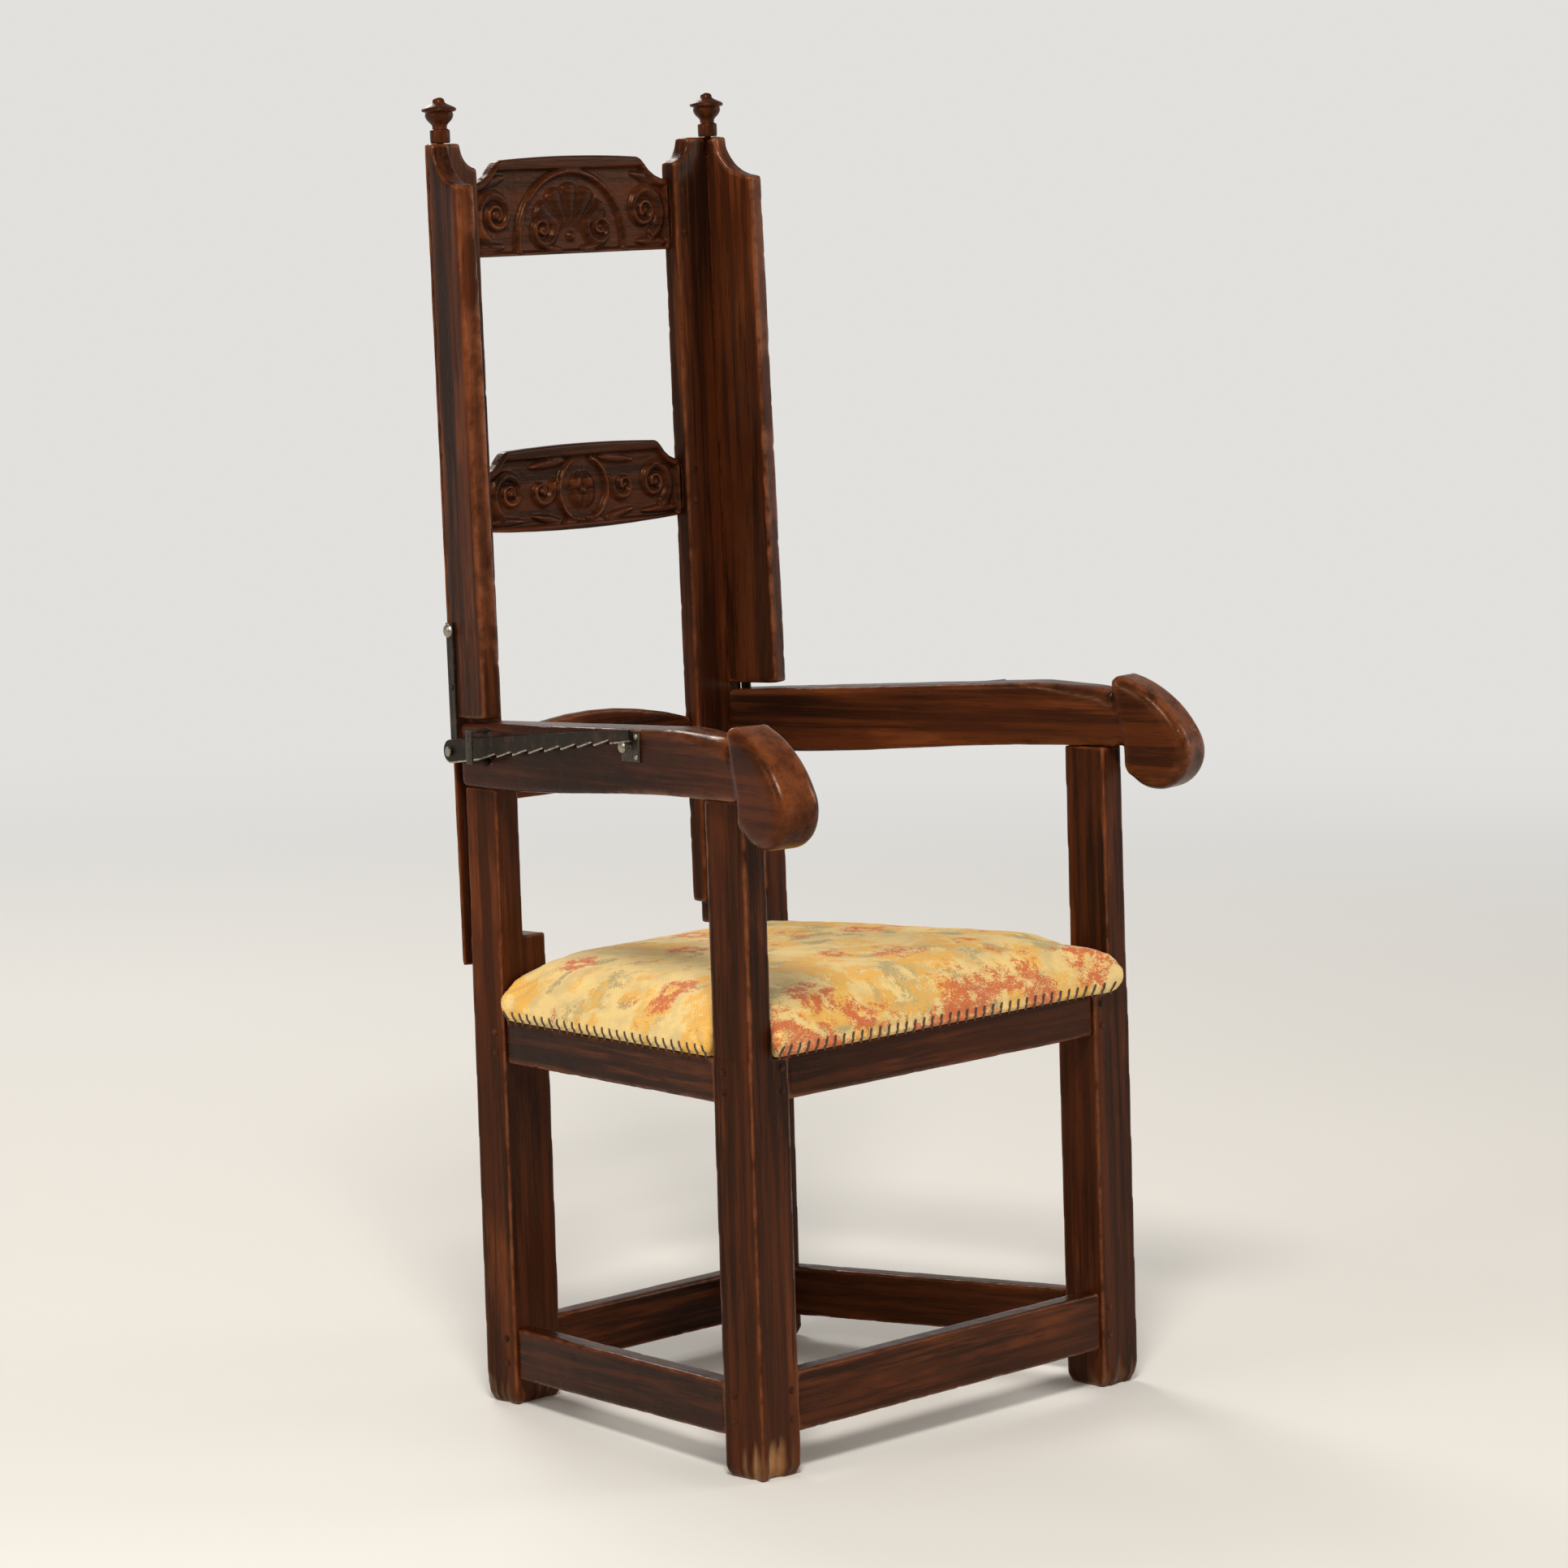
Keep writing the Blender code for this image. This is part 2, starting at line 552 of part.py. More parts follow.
def webbing():
    """Straps from front to rear, over straps from side to side."""
    front, rear = REVEAL + RAIL_THICK + GAP, SEAT_DEPTH - REVEAL - RAIL_THICK - GAP
    high = RAIL_TOP - WEB_DROP
    low = high - WEB_THICK + GAP
    across = 2 * (side_inner(rear) - WEB_WIDTH / 2) / (WEB_COUNT + 1)
    upper, under = [], []
    for i in range(WEB_COUNT):
        x = (i - (WEB_COUNT - 1) / 2) * across
        upper.append((x - WEB_WIDTH / 2, x + WEB_WIDTH / 2, front, rear, high - WEB_THICK, high))
        y = front + (rear - front) * (i + 1) / (WEB_COUNT + 1)
        half = side_inner(y + WEB_WIDTH / 2) - GAP
        under.append((-half, half, y - WEB_WIDTH / 2, y + WEB_WIDTH / 2, low - WEB_THICK, low))
    return boxes("straps_along", *upper), boxes("straps_across", *under)


straps_along, straps_across = webbing()
shape(place("seat_webbing", straps_along, WEBBING, chair), place("straps_across", straps_across, None, chair),
      "UNION")


def pad_point(co):
    """Place a point of the pad's cage: crowned on top, full at the sides and drawn in at the hem."""
    a, b = sin(pi / 2 * co.x), sin(pi / 2 * co.y)
    front, rear = REVEAL + PAD_HEM_INSET, SEAT_DEPTH - REVEAL - PAD_HEM_INSET
    rise = (co.z + 1) / 2
    crown = (1 - abs(a) ** PAD_FULLNESS) * (1 - abs(b) ** PAD_FULLNESS)
    z = rise * (PAD_EDGE + (PAD_CROWN - PAD_EDGE) * crown)
    swell = PAD_BULGE * (sin(pi * rise) if rise < 0.5 else 1 - (2 * rise - 1) ** 2 * 2)
    y = front + (rear - front) * (b + 1) / 2
    half = side_inner(y) + RAIL_THICK - PAD_HEM_INSET
    return Vector((a * (half + swell), y + b * swell, RAIL_TOP + GAP + z))


def pad_mesh():
    """A cube cut into a cage and swelled to the pad's shape."""
    bm = bmesh.new()
    bmesh.ops.create_cube(bm, size=2)
    for axis, cuts in PAD_CUTS.items():
        along = [e for e in bm.edges if abs(e.verts[0].co[axis] - e.verts[1].co[axis]) > 1e-6]
        bmesh.ops.subdivide_edges(bm, edges=along, cuts=cuts, use_grid_fill=True)
    for vert in bm.verts:
        vert.co = pad_point(vert.co)
    return mesh_of(bm, "seat_pad")


def pad_notches():
    """Room for the four posts at the pad's corners."""
    spans = []
    low, high = RAIL_TOP - PAD_CROWN, RAIL_TOP + 2 * PAD_CROWN
    past = 4 * PAD_BULGE
    for sign in (-1, 1):
        post_in = FRONT_WIDTH / 2 - POST_INSET - FRONT_POST_WIDTH - PAD_PLAY
        spans.append((sign * post_in, sign * (FRONT_WIDTH / 2 + past), -past, FRONT_LEG_DEPTH + PAD_PLAY,
                      low, high))
        spans.append((sign * (REAR_INNER - PAD_PLAY), sign * (REAR_WIDTH / 2 + past),
                      REAR_LEG_FRONT - PAD_PLAY, SEAT_DEPTH + past, low, high))
    return boxes("pad_notches", *spans)


pad = place("seat_pad", pad_mesh(), NEEDLEWORK, chair)
shape(pad, place("pad_notches", pad_notches(), None, chair))


# Back: stiles, wings, rails and finials
def local(height):
    """Height above the seat frame's base as a height above the hinge axis."""
    return height - HINGE_HEIGHT


def stile_outline(sign):
    """Front of a stile, with the step at its foot and the scoop at its inner top corner."""
    step = STILE_FOOT + STILE_STEP_HEIGHT
    toe = STILE_IN + STILE_STEP_WIDTH
    points = [(STILE_IN, step), (toe, step), (toe, STILE_FOOT), (STILE_OUT, STILE_FOOT),
              (STILE_OUT, STILE_TOP)]
    for x, z in arc((0, 0), 1, 0, -pi / 2, 6):
        points.append((STILE_IN + STILE_SCOOP_WIDTH * x, STILE_TOP + STILE_SCOOP_HEIGHT * z))
    return [(sign * x, local(z)) for x, z in points]


def cant_plan(sign):
    """Plan of the wedge cut from a stile's outer rear corner."""
    face = STILE_FACE + STILE_THICK / 8
    rear = STILE_FACE + STILE_THICK
    past = STILE_THICK
    return [(sign * (STILE_OUT + GAP), face), (sign * (STILE_IN + STILE_REAR_WIDTH), rear),
            (sign * (STILE_IN + STILE_REAR_WIDTH), rear + past), (sign * (STILE_OUT + past), rear + past),
            (sign * (STILE_OUT + past), face)]


def rail_outline(foot, top, ear, arch, sag):
    """Front of a back rail: an arched top edge, with scooped ears if any, over a straight or sagging edge."""
    half = STILE_IN - GAP
    inner = half - ear[0]
    steps = [i / 4 - 1 for i in range(9)]
    upper = [(-inner * s, top + arch * (1 - s * s)) for s in steps]
    lower = [(half * s, foot - sag * (1 - s * s)) for s in (steps if sag else (-1, 1))]
    scoop = [(half - ear[0] * u, top - ear[1] * v) for u, v in EAR_PROFILE]
    if not ear[0]:
        scoop = []
    points = lower + scoop + upper + [(-x, z) for x, z in reversed(scoop)]
    return [(x, local(z)) for x, z in points]


def wing_outline():
    """Side of a wing, forward of the stile, with a cove cut in its top."""
    behind = -WING_THICK
    cove = arc((WING_DEPTH_TOP, STILE_TOP), WING_SCOOP, -pi / 2, -pi, 6)
    return [(behind, WING_FOOT), (WING_DEPTH_FOOT, WING_FOOT)] + cove + [(behind, STILE_TOP)]


back_mortises = []
rail_face = STILE_FACE + BACK_RAIL_INSET
tenon_middle = rail_face + GAP + BACK_TENON_THICK / 2
crest_ear, middle_ear = (CREST_EAR_WIDTH, CREST_EAR_DROP), (MIDDLE_EAR_WIDTH, MIDDLE_EAR_DROP)
back_rails = (("crest_rail", CREST_FOOT, CREST_TOP, crest_ear, UPPER_ARCH, 0),
              ("middle_back_rail", MIDDLE_FOOT, MIDDLE_TOP, middle_ear, UPPER_ARCH, MIDDLE_SAG),
              ("lower_back_rail", LOWER_FOOT, LOWER_TOP, (0, 0), LOWER_ARCH, 0))
for name, foot, top, ear, arch, sag in back_rails:
    body = prism(name, rail_outline(foot, top, ear, arch, sag), BACK_RAIL_THICK)
    rail = ease(place(name, body, OAK, back, (0, rail_face + BACK_RAIL_THICK / 2, 0)))
    tenons, cuts = cross_tenons(tenon_middle, STILE_IN, local(foot), local(top) - ear[1], BACK_TENON_THICK)
    shape(rail, place(f"{name}_tenons", boxes(name, *tenons), None, back), "UNION")
    back_mortises.extend(cuts)
stile_mortises = place("stile_mortises", boxes("stile_mortises", *back_mortises), None, back)

finial_profile = [(0, 1), (0.22, 0.99), (0.34, 0.94), (0.40, 0.88), (0.60, 0.83), (0.97, 0.76), (1, 0.72),
                  (0.97, 0.685), (0.79, 0.675), (0.81, 0.62), (0.75, 0.54), (0.53, 0.43), (0.42, 0.36),
                  (0.41, 0.31), (0.56, 0.28), (0.57, 0.04), (0.53, 0)]
behind_face = (-STILE_OUT - STILE_WIDTH, STILE_OUT + STILE_WIDTH, STILE_FACE - GAP, STILE_FACE + STILE_WIDTH,
               local(0), local(2 * STILE_TOP))
stile_plane = place("stile_plane", boxes("stile_plane", behind_face), None, back)
stiles, wings = {}, {}
for side, sign in SIDES:
    stile = ease(place(f"stile_{side}", prism("stile", stile_outline(sign), STILE_THICK), OAK, back,
                       (0, STILE_FACE + STILE_THICK / 2, 0)))
    cant = prism("cant", cant_plan(sign), 2 * STILE_TOP, FLAT)
    shape(stile, place(f"stile_cant_{side}", cant, None, back))
    shape(stile, stile_mortises)
    board = prism("wing", wing_outline(), WING_THICK, ALONG)
    wing = ease(place(f"wing_{side}", board, OAK, wing_frames[side]))
    shape(wing, stile_plane)
    foot = (sign * (WING_X - WING_THICK / 2 + SPIGOT_RADIUS), STILE_FACE - FINIAL_FORWARD,
            local(STILE_TOP) + GAP)
    profile = [(r * FINIAL_RADIUS, z * FINIAL_HEIGHT) for r, z in finial_profile]
    profile += [(SPIGOT_RADIUS, 0), (SPIGOT_RADIUS, -FINIAL_SPIGOT), (0, -FINIAL_SPIGOT)]
    spin(place(f"finial_{side}", profile_mesh(f"finial_{side}", profile), OAK, back, foot), 20)
    hole = rods("spigot_hole", SPIGOT_RADIUS + PIN_PLAY, 2 * FINIAL_SPIGOT,
                [(Vector(foot) + Vector((0, 0, FINIAL_SPIGOT - PIN_PLAY)), (0, 0, -1))], 20)
    socket = place(f"spigot_hole_{side}", hole, None, back)
    shape(stile, socket)
    shape(wing, socket)
    stiles[side], wings[side] = stile, wing


# Nails and rivets
def nails(name, frame, seats, outwards, head=NAIL_HEAD, rise=NAIL_RISE):
    """Like nails with their heads on the given seats and facing outwards; their holes are returned."""
    outwards = Vector(outwards)
    dome = [(head * sin(t), rise * cos(t)) for t in (0, pi / 6, pi / 3, pi / 2)]
    mesh = profile_mesh(name, dome + [(NAIL_SHANK, 0), (NAIL_SHANK, -NAIL_LENGTH), (0, -NAIL_LENGTH)])
    mesh.materials.append(IRON)
    for number, seat in enumerate(seats, 1):
        made = bpy.data.objects.new(name if len(seats) == 1 else f"{name}_{number}", mesh)
        PARTS.objects.link(made)
        made.parent = frame
        made.location = Vector(seat) + outwards * GAP
        made.rotation_euler = outwards.to_track_quat("Z", "Y").to_euler()
        spin(made, 8)
    ends = [(Vector(seat) + outwards * NAIL_LENGTH, -outwards) for seat in seats]
    holes = rods(f"{name}_holes", NAIL_SHANK + PIN_PLAY, 2 * (NAIL_LENGTH + GAP), ends, 8)
    return place(f"{name}_holes", holes, None, frame)


# Hinges: a leaf on each rear leg, a leaf on each stile, and a pin through both
def hinge_leaf(name, frame, x, upper):
    """A leaf flat against its wood; the lower one has two knuckles and the upper one between them."""
    sign = 1 if upper else -1
    outer = sign * (HINGE_GAP / 2 - GAP)
    inner = outer - sign * LEAF_THICK
    half = HINGE_WIDTH / 2 - TAB_INSET
    plate = boxes(name, (x - half, x + half, inner, outer, sign * RELIEF, sign * LEAF_HEIGHT))
    made = place(name, plate, IRON, frame)
    if upper:
        starts, length = [x - KNUCKLE / 2 + GAP], KNUCKLE - 2 * GAP
    else:
        starts, length = [x - HINGE_WIDTH / 2, x + KNUCKLE / 2], KNUCKLE
    tabs = [(start + TAB_INSET, start + length - TAB_INSET, inner, outer, 0, sign * 2 * RELIEF)
            for start in starts]
    shape(made, place(f"{name}_tabs", boxes(name, *tabs), None, frame), "UNION")
    barrel = rods(name, BARREL_RADIUS, length, [((start, 0, 0), (1, 0, 0)) for start in starts], 14)
    shape(made, place(f"{name}_barrel", barrel, None, frame), "UNION")
    far_end = (x - HINGE_WIDTH, 0, 0)
    bore = rods(name, HINGE_PIN_RADIUS + PIN_PLAY, 2 * HINGE_WIDTH, [(far_end, (1, 0, 0))], 14)
    return shape(made, place(f"{name}_bore", bore, None, frame))


hinge_line = empty("hinge_line", chair, (0, HINGE_Y, HINGE_HEIGHT))
for side, sign in SIDES:
    x = sign * REAR_LEG_X
    lower = hinge_leaf(f"hinge_lower_leaf_{side}", hinge_line, x, False)
    upper = hinge_leaf(f"hinge_upper_leaf_{side}", back, x, True)
    start = (x - HINGE_WIDTH / 2 - KNUCKLE / 8, 0, 0)
    place(f"hinge_pin_{side}", rods("hinge_pin", HINGE_PIN_RADIUS, HINGE_WIDTH + KNUCKLE / 4,
                                    [(start, (1, 0, 0))], 12), IRON, hinge_line)
    leaf_face = HINGE_GAP / 2 - GAP - LEAF_THICK
    spots = [(x - HINGE_WIDTH / 4, NAIL_PLACE), (x + HINGE_WIDTH / 4, NAIL_PLACE)]
    leg_spots = [(x, -leaf_face, -z) for x, z in spots]
    stile_spots = [(x, leaf_face, z) for x, z in spots]
    leg_holes = nails(f"hinge_leg_nail_{side}", hinge_line, leg_spots, (0, 1, 0))
    stile_holes = nails(f"hinge_stile_nail_{side}", back, stile_spots, (0, -1, 0))
    shape(lower, leg_holes)
    shape(legs[f"rear_leg_{side}"], leg_holes)
    shape(upper, stile_holes)
    shape(stiles[side], stile_holes)

# Straps on the wings, and rack bars that run through a catch on each arm to a rest near the front
bpy.context.view_layer.update()


def rack_outline(length):
    """A rack bar from its eye forward: a tapering bar with saw teeth along its lower edge."""
    def half(u):
        return RACK_REAR_HALF + (RACK_TIP_HALF - RACK_REAR_HALF) * u / length
    teeth = []
    for i in range(RACK_TEETH):
        u = RACK_FIRST_TOOTH + i * TOOTH_PITCH
        teeth += [(u, -half(u)), (u + TOOTH_PITCH, TOOTH_DEPTH - half(u + TOOTH_PITCH))]
    last = RACK_FIRST_TOOTH + RACK_TEETH * TOOTH_PITCH
    eye = arc((0, 0), RACK_REAR_HALF, pi * 0.5, pi * 1.5, 10)
    return eye + teeth + [(last, -half(last)), (length, -RACK_TIP_HALF), (length, RACK_TIP_HALF)]


def catch_outline(sign, bar_x):
    """A staple seen along the arm: its legs go into the arm and its bridge passes outside the bar."""
    spike = ARM_WIDTH / 2 - CATCH_SPIKE
    bridge = bar_x + RACK_THICK / 2 + CATCH_ROOM
    outer = bridge + CATCH_STOCK
    points = [(spike, -CATCH_BELOW - CATCH_STOCK), (outer, -CATCH_BELOW - CATCH_STOCK),
              (outer, CATCH_ABOVE + CATCH_STOCK), (spike, CATCH_ABOVE + CATCH_STOCK), (spike, CATCH_ABOVE),
              (bridge, CATCH_ABOVE), (bridge, -CATCH_BELOW), (spike, -CATCH_BELOW)]
    return [(sign * x, z) for x, z in points]


for side, sign in SIDES:
    wing_frame, arm_frame = wing_frames[side], arm_frames[side]

    # Strap, with the knob that holds it, a nail and the pivot of the bar
    strap_span = (sign * STRAP_OUT, sign * (STRAP_OUT + STRAP_THICK), -STRAP_BACK - STRAP_WIDTH / 2,
                  -STRAP_BACK + STRAP_WIDTH / 2, PIVOT_HEIGHT - STRAP_TAIL, STRAP_TOP)
    strap = place(f"back_strap_{side}", boxes("strap", strap_span), IRON, wing_frame)
    face = sign * (STRAP_OUT + STRAP_THICK)
    knob = nails(f"strap_knob_{side}", wing_frame, [(face, -STRAP_BACK, STRAP_KNOB)], (sign, 0, 0), KNOB_HEAD,
                 KNOB_RISE)
    nail = nails(f"strap_nail_{side}", wing_frame, [(face, -STRAP_BACK, STRAP_NAIL)], (sign, 0, 0))
    for holes in (knob, nail):
        shape(strap, holes)
        shape(wings[side], holes)
    pivot = Vector((sign * RACK_OUT, -STRAP_BACK, PIVOT_HEIGHT))
    pin_start = Vector((sign * (STRAP_OUT - GAP), -STRAP_BACK, PIVOT_HEIGHT))
    pin_length = GAP + STRAP_THICK + RACK_PLAY + RACK_THICK + RACK_PLAY + GAP
    pin = rods("rack_pin", RACK_PIN_RADIUS, pin_length, [(pin_start, (sign, 0, 0))], 12)
    pin = place(f"rack_pin_{side}", pin, IRON, wing_frame)
    head = rods("rack_pin_head", RACK_PIN_HEAD, RACK_PIN_RADIUS / 2,
                [(pin_start + Vector((sign * (pin_length - GAP), 0, 0)), (sign, 0, 0))], 12)
    shape(pin, place(f"rack_pin_head_{side}", head, None, wing_frame), "UNION")
    strap_hole = rods("strap_hole", RACK_PIN_RADIUS + PIN_PLAY, 4 * STRAP_THICK,
                      [(pin_start - Vector((sign * STRAP_THICK, 0, 0)), (sign, 0, 0))], 12)
    shape(strap, place(f"strap_hole_{side}", strap_hole, None, wing_frame))

    # Bar, aimed from its pivot at the rest and level with it
    to_arm = arm_frame.matrix_world.inverted() @ wing_frame.matrix_world
    bar_x = abs((to_arm @ pivot).x)
    over_stud = Vector((sign * bar_x, REST_BACK, REST_HEIGHT))
    aim = to_arm.inverted() @ over_stud - pivot
    rack_frame = empty(f"rack_pivot_{side}", wing_frame, pivot, aim.to_track_quat("-Y", "Z").to_euler())
    bar = prism("rack", rack_outline(aim.length + RACK_TIP), RACK_THICK, ALONG)
    bar = place(f"rack_bar_{side}", bar, IRON, rack_frame)
    beside = (-2 * RACK_THICK, 0, 0)
    eye = rods("rack_eye", RACK_PIN_RADIUS + EYE_PLAY, 4 * RACK_THICK, [(beside, (1, 0, 0))], 12)
    shape(bar, place(f"rack_eye_{side}", eye, None, rack_frame))

    # Catch staple, with its legs in the arm
    spot = to_arm @ (pivot + aim.normalized() * CATCH_AHEAD)
    spot.x = 0
    staple = prism("catch", catch_outline(sign, bar_x), CATCH_WIDTH)
    place(f"catch_staple_{side}", staple, IRON, arm_frame, spot)
    half = CATCH_WIDTH / 2 + GAP
    leg_spans = [(sign * (ARM_WIDTH / 2 - CATCH_SPIKE - GAP), sign * ARM_WIDTH, -half, half, z - GAP,
                  z + CATCH_STOCK + GAP) for z in (CATCH_ABOVE, -CATCH_BELOW - CATCH_STOCK)]
    slots = place(f"catch_slots_{side}", boxes("catch_slots", *leg_spans), None, arm_frame, spot)
    shape(arms[side], slots)

    # Rest: a plate with two rivets, and a headed stud under the bar's tip
    face = ARM_WIDTH / 2 + GAP
    stud_z = REST_HEIGHT - RACK_TIP_HALF - STUD_RADIUS - 2 * GAP
    plate_span = (sign * face, sign * (face + PLATE_THICK), -PLATE_LENGTH / 2, PLATE_LENGTH / 2,
                  -PLATE_HEIGHT / 2, PLATE_HEIGHT / 2)
    plate = place(f"rest_plate_{side}", boxes("plate", plate_span), IRON, arm_frame, (0, REST_BACK, stud_z))
    ahead = REST_BACK - PLATE_LENGTH / 2 + RIVET_MARGIN
    corners = [(sign * (face + PLATE_THICK), ahead, stud_z + up * (PLATE_HEIGHT / 2 - RIVET_MARGIN))
               for up in (-1, 1)]
    rivets = nails(f"rest_rivet_{side}", arm_frame, corners, (sign, 0, 0))
    neck = bar_x + RACK_THICK / 2 + STUD_PAST - face - PLATE_THICK - GAP
    stud_profile = [(STUD_HEAD * sin(t), neck + STUD_HEAD / 2 * cos(t)) for t in (0, pi / 6, pi / 3, pi / 2)]
    stud_profile += [(STUD_RADIUS, neck), (STUD_RADIUS, 0), (NAIL_SHANK, 0), (NAIL_SHANK, -NAIL_LENGTH),
                     (0, -NAIL_LENGTH)]
    stud = place(f"rest_stud_{side}", profile_mesh("stud", stud_profile), IRON, arm_frame,
                 (sign * (face + PLATE_THICK + GAP), REST_BACK, stud_z))
    stud.rotation_euler.y = sign * pi / 2
    spin(stud, 12)
    stud_end = (sign * (face + NAIL_LENGTH), REST_BACK, stud_z)
    stud_hole = rods("stud_hole", NAIL_SHANK + PIN_PLAY, 2 * NAIL_LENGTH + GAP,
                     [(stud_end, (-sign, 0, 0))], 12)
    for cutter in (rivets, place(f"stud_hole_{side}", stud_hole, None, arm_frame)):
        shape(plate, cutter)
        shape(arms[side], cutter)


def centre_on_origin():
    """Move the whole chair so that the middle of its footprint is the origin."""
    bpy.context.view_layer.update()
    graph = bpy.context.evaluated_depsgraph_get()
    corners = [piece.matrix_world @ Vector(corner) for piece in PARTS.objects
               for corner in piece.evaluated_get(graph).bound_box]
    depths = [corner.y for corner in corners]
    chair.location.y -= (min(depths) + max(depths)) / 2
    bpy.context.view_layer.update()


centre_on_origin()
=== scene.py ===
"""Looks of a sleeping chair: waxed oak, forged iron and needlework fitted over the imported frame."""

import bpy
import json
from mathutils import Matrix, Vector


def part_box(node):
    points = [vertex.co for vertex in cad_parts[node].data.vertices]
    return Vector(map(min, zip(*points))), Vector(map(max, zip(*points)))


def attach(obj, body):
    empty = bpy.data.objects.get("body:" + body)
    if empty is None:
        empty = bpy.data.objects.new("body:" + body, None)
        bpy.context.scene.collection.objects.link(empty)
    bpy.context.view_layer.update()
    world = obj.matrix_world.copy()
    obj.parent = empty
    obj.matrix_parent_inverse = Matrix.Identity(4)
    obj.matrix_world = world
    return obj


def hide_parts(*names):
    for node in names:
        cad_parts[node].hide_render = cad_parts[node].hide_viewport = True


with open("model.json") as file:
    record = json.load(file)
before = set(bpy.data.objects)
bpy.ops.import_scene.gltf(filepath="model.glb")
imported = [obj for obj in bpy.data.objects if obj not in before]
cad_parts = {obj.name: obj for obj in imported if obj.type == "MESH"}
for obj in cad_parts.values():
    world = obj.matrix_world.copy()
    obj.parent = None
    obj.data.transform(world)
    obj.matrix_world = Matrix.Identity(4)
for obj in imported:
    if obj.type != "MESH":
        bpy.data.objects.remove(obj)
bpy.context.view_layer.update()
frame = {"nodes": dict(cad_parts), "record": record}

import json
from math import atan2, cos, pi, radians, sin

import bpy
import numpy as np
from bpy.props import FloatProperty, FloatVectorProperty, IntProperty, PointerProperty
from mathutils import Euler, Matrix, Vector

bl_info = {
    "name": "Sleeping chair",
    "version": (1, 0, 0),
    "blender": (4, 5, 0),
    "location": "View3D > Sidebar > Chair",
    "description": "Builds the looks of an oak sleeping chair over its packed frame",
    "category": "Object",
}

# Places of the chair's own frames, which slope a little to the rear
FRONT_POST_X, FRONT_POST_Y = 0.274, 0.025
REAR_POST_X, REAR_POST_Y = 0.197, 0.42325
HINGE_Y, HINGE_HEIGHT = 0.4495, 0.447
CHAIR = Matrix.Translation((0, -0.230209, 0.005996)) @ Matrix.Rotation(radians(-2.0), 4, "X")
BACK = CHAIR @ Matrix.Translation((0, HINGE_Y, HINGE_HEIGHT)) @ Matrix.Rotation(radians(-0.7), 4, "X")
SPLAY = atan2(FRONT_POST_X - REAR_POST_X, REAR_POST_Y - FRONT_POST_Y)
SIDES = (("right", -1), ("left", 1))
# Threads of the seat's canvas and of the webbing
CANVAS_PITCH, WEBBING_PITCH = 0.0019, 0.0034
ACROSS = Vector((1, 0, 0))


def way(place, *vector):
    """A direction that is given in one of the chair's frames."""
    return place.to_3x3() @ Vector(vector)


UP, BACK_UP = way(CHAIR, 0, 0, 1), way(BACK, 0, 0, 1)


def arm_frame(sign):
    """Frame of one arm, from the middle of its front post."""
    post = Matrix.Translation((sign * FRONT_POST_X, FRONT_POST_Y, 0))
    return CHAIR @ post @ Matrix.Rotation(sign * SPLAY, 4, "Z")


# Sizes and colours that a user would change
def length(name, about, value):
    """A length in metres."""
    return FloatProperty(name=name, description=about, default=value, min=0, subtype="DISTANCE",
                         unit="LENGTH")


def colour(name, about, value):
    """A colour."""
    return FloatVectorProperty(name=name, description=about, default=value, min=0, max=1,
                               subtype="COLOR", size=3)


class ChairSizes(bpy.types.PropertyGroup):
    """Sizes of the chair's wear, carving and needlework."""

    oak_step: length("Oak step", "Spacing of the points of a plain oak piece", 0.0022)
    carving_step: length("Carving step", "Spacing of the points of a carved rail", 0.0010)
    iron_step: length("Iron step", "Spacing of the points of a toothed bar", 0.0008)
    carving_depth: length("Carving depth", "Depth of the carving's ground", 0.0056)
    dents: length("Dents", "Unevenness of the old oak", 0.0003)
    foot_wear: length("Foot wear", "Wood lost at the worst corner of a foot", 0.0060)
    pad_step: length("Pad step", "Spacing of the pad's points before it is filled", 0.0050)
    pad_crown: length("Pad crown", "Height of the pad's middle above the rails", 0.060)
    pad_edge: length("Pad edge", "Height of the pad's edge above the rails", 0.040)
    stitch_pitch: length("Stitch pitch", "Distance between the stitches of the hem", 0.0130)
    stitch_height: length("Stitch height", "Height of a stitch of the hem", 0.0125)
    thread: length("Thread", "Radius of the hem's thread", 0.0013)
    peg_radius: length("Peg radius", "Radius of an oak peg", 0.0038)
    scroll_edge: length("Scroll edge", "Rounding of the edges of an arm's scroll", 0.0130)
    fill_steps: IntProperty(name="Fill steps", description="Steps of the pad's filling", default=18, min=1)


class ChairColours(bpy.types.PropertyGroup):
    """Colours of the chair's finishes."""

    oak_dark: colour("Dark oak", "Oak in its hollows and grain", (0.014, 0.0046, 0.0024))
    oak: colour("Oak", "Waxed oak", (0.072, 0.0170, 0.0050))
    # Worn oak also paints the light on the rims of the arms' scrolls
    oak_worn_and_lit: colour("Worn oak", "Oak where hands and time rubbed it", (0.210, 0.0560, 0.0140))
    oak_raw: colour("Raw oak", "Broken wood at the feet", (0.40, 0.20, 0.085))
    iron: colour("Iron", "Dark forged iron", (0.030, 0.022, 0.015))
    # Worn iron also paints the highlights on the points of the teeth
    iron_worn_and_lit: colour("Worn iron", "Iron rubbed bright", (0.48, 0.43, 0.35))
    rust: colour("Rust", "Rust in the iron", (0.050, 0.022, 0.010))
    cream: colour("Cream", "Ground of the needlework", (0.85, 0.62, 0.24))
    gold: colour("Gold", "Gold wool", (0.84, 0.44, 0.060))
    red: colour("Red", "Red and orange wool", (0.60, 0.115, 0.030))
    green: colour("Green", "Grey-green wool", (0.38, 0.31, 0.14))
    thread: colour("Thread", "Thread of the hem", (0.026, 0.014, 0.009))
    jute: colour("Jute", "Webbing under the seat", (0.36, 0.26, 0.14))
    floor: colour("Floor", "Studio floor", (0.80, 0.79, 0.765))


def sizes():
    """The chair's sizes."""
    return bpy.context.scene.chair_sizes


def colours():
    """The chair's colours."""
    return bpy.context.scene.chair_colours


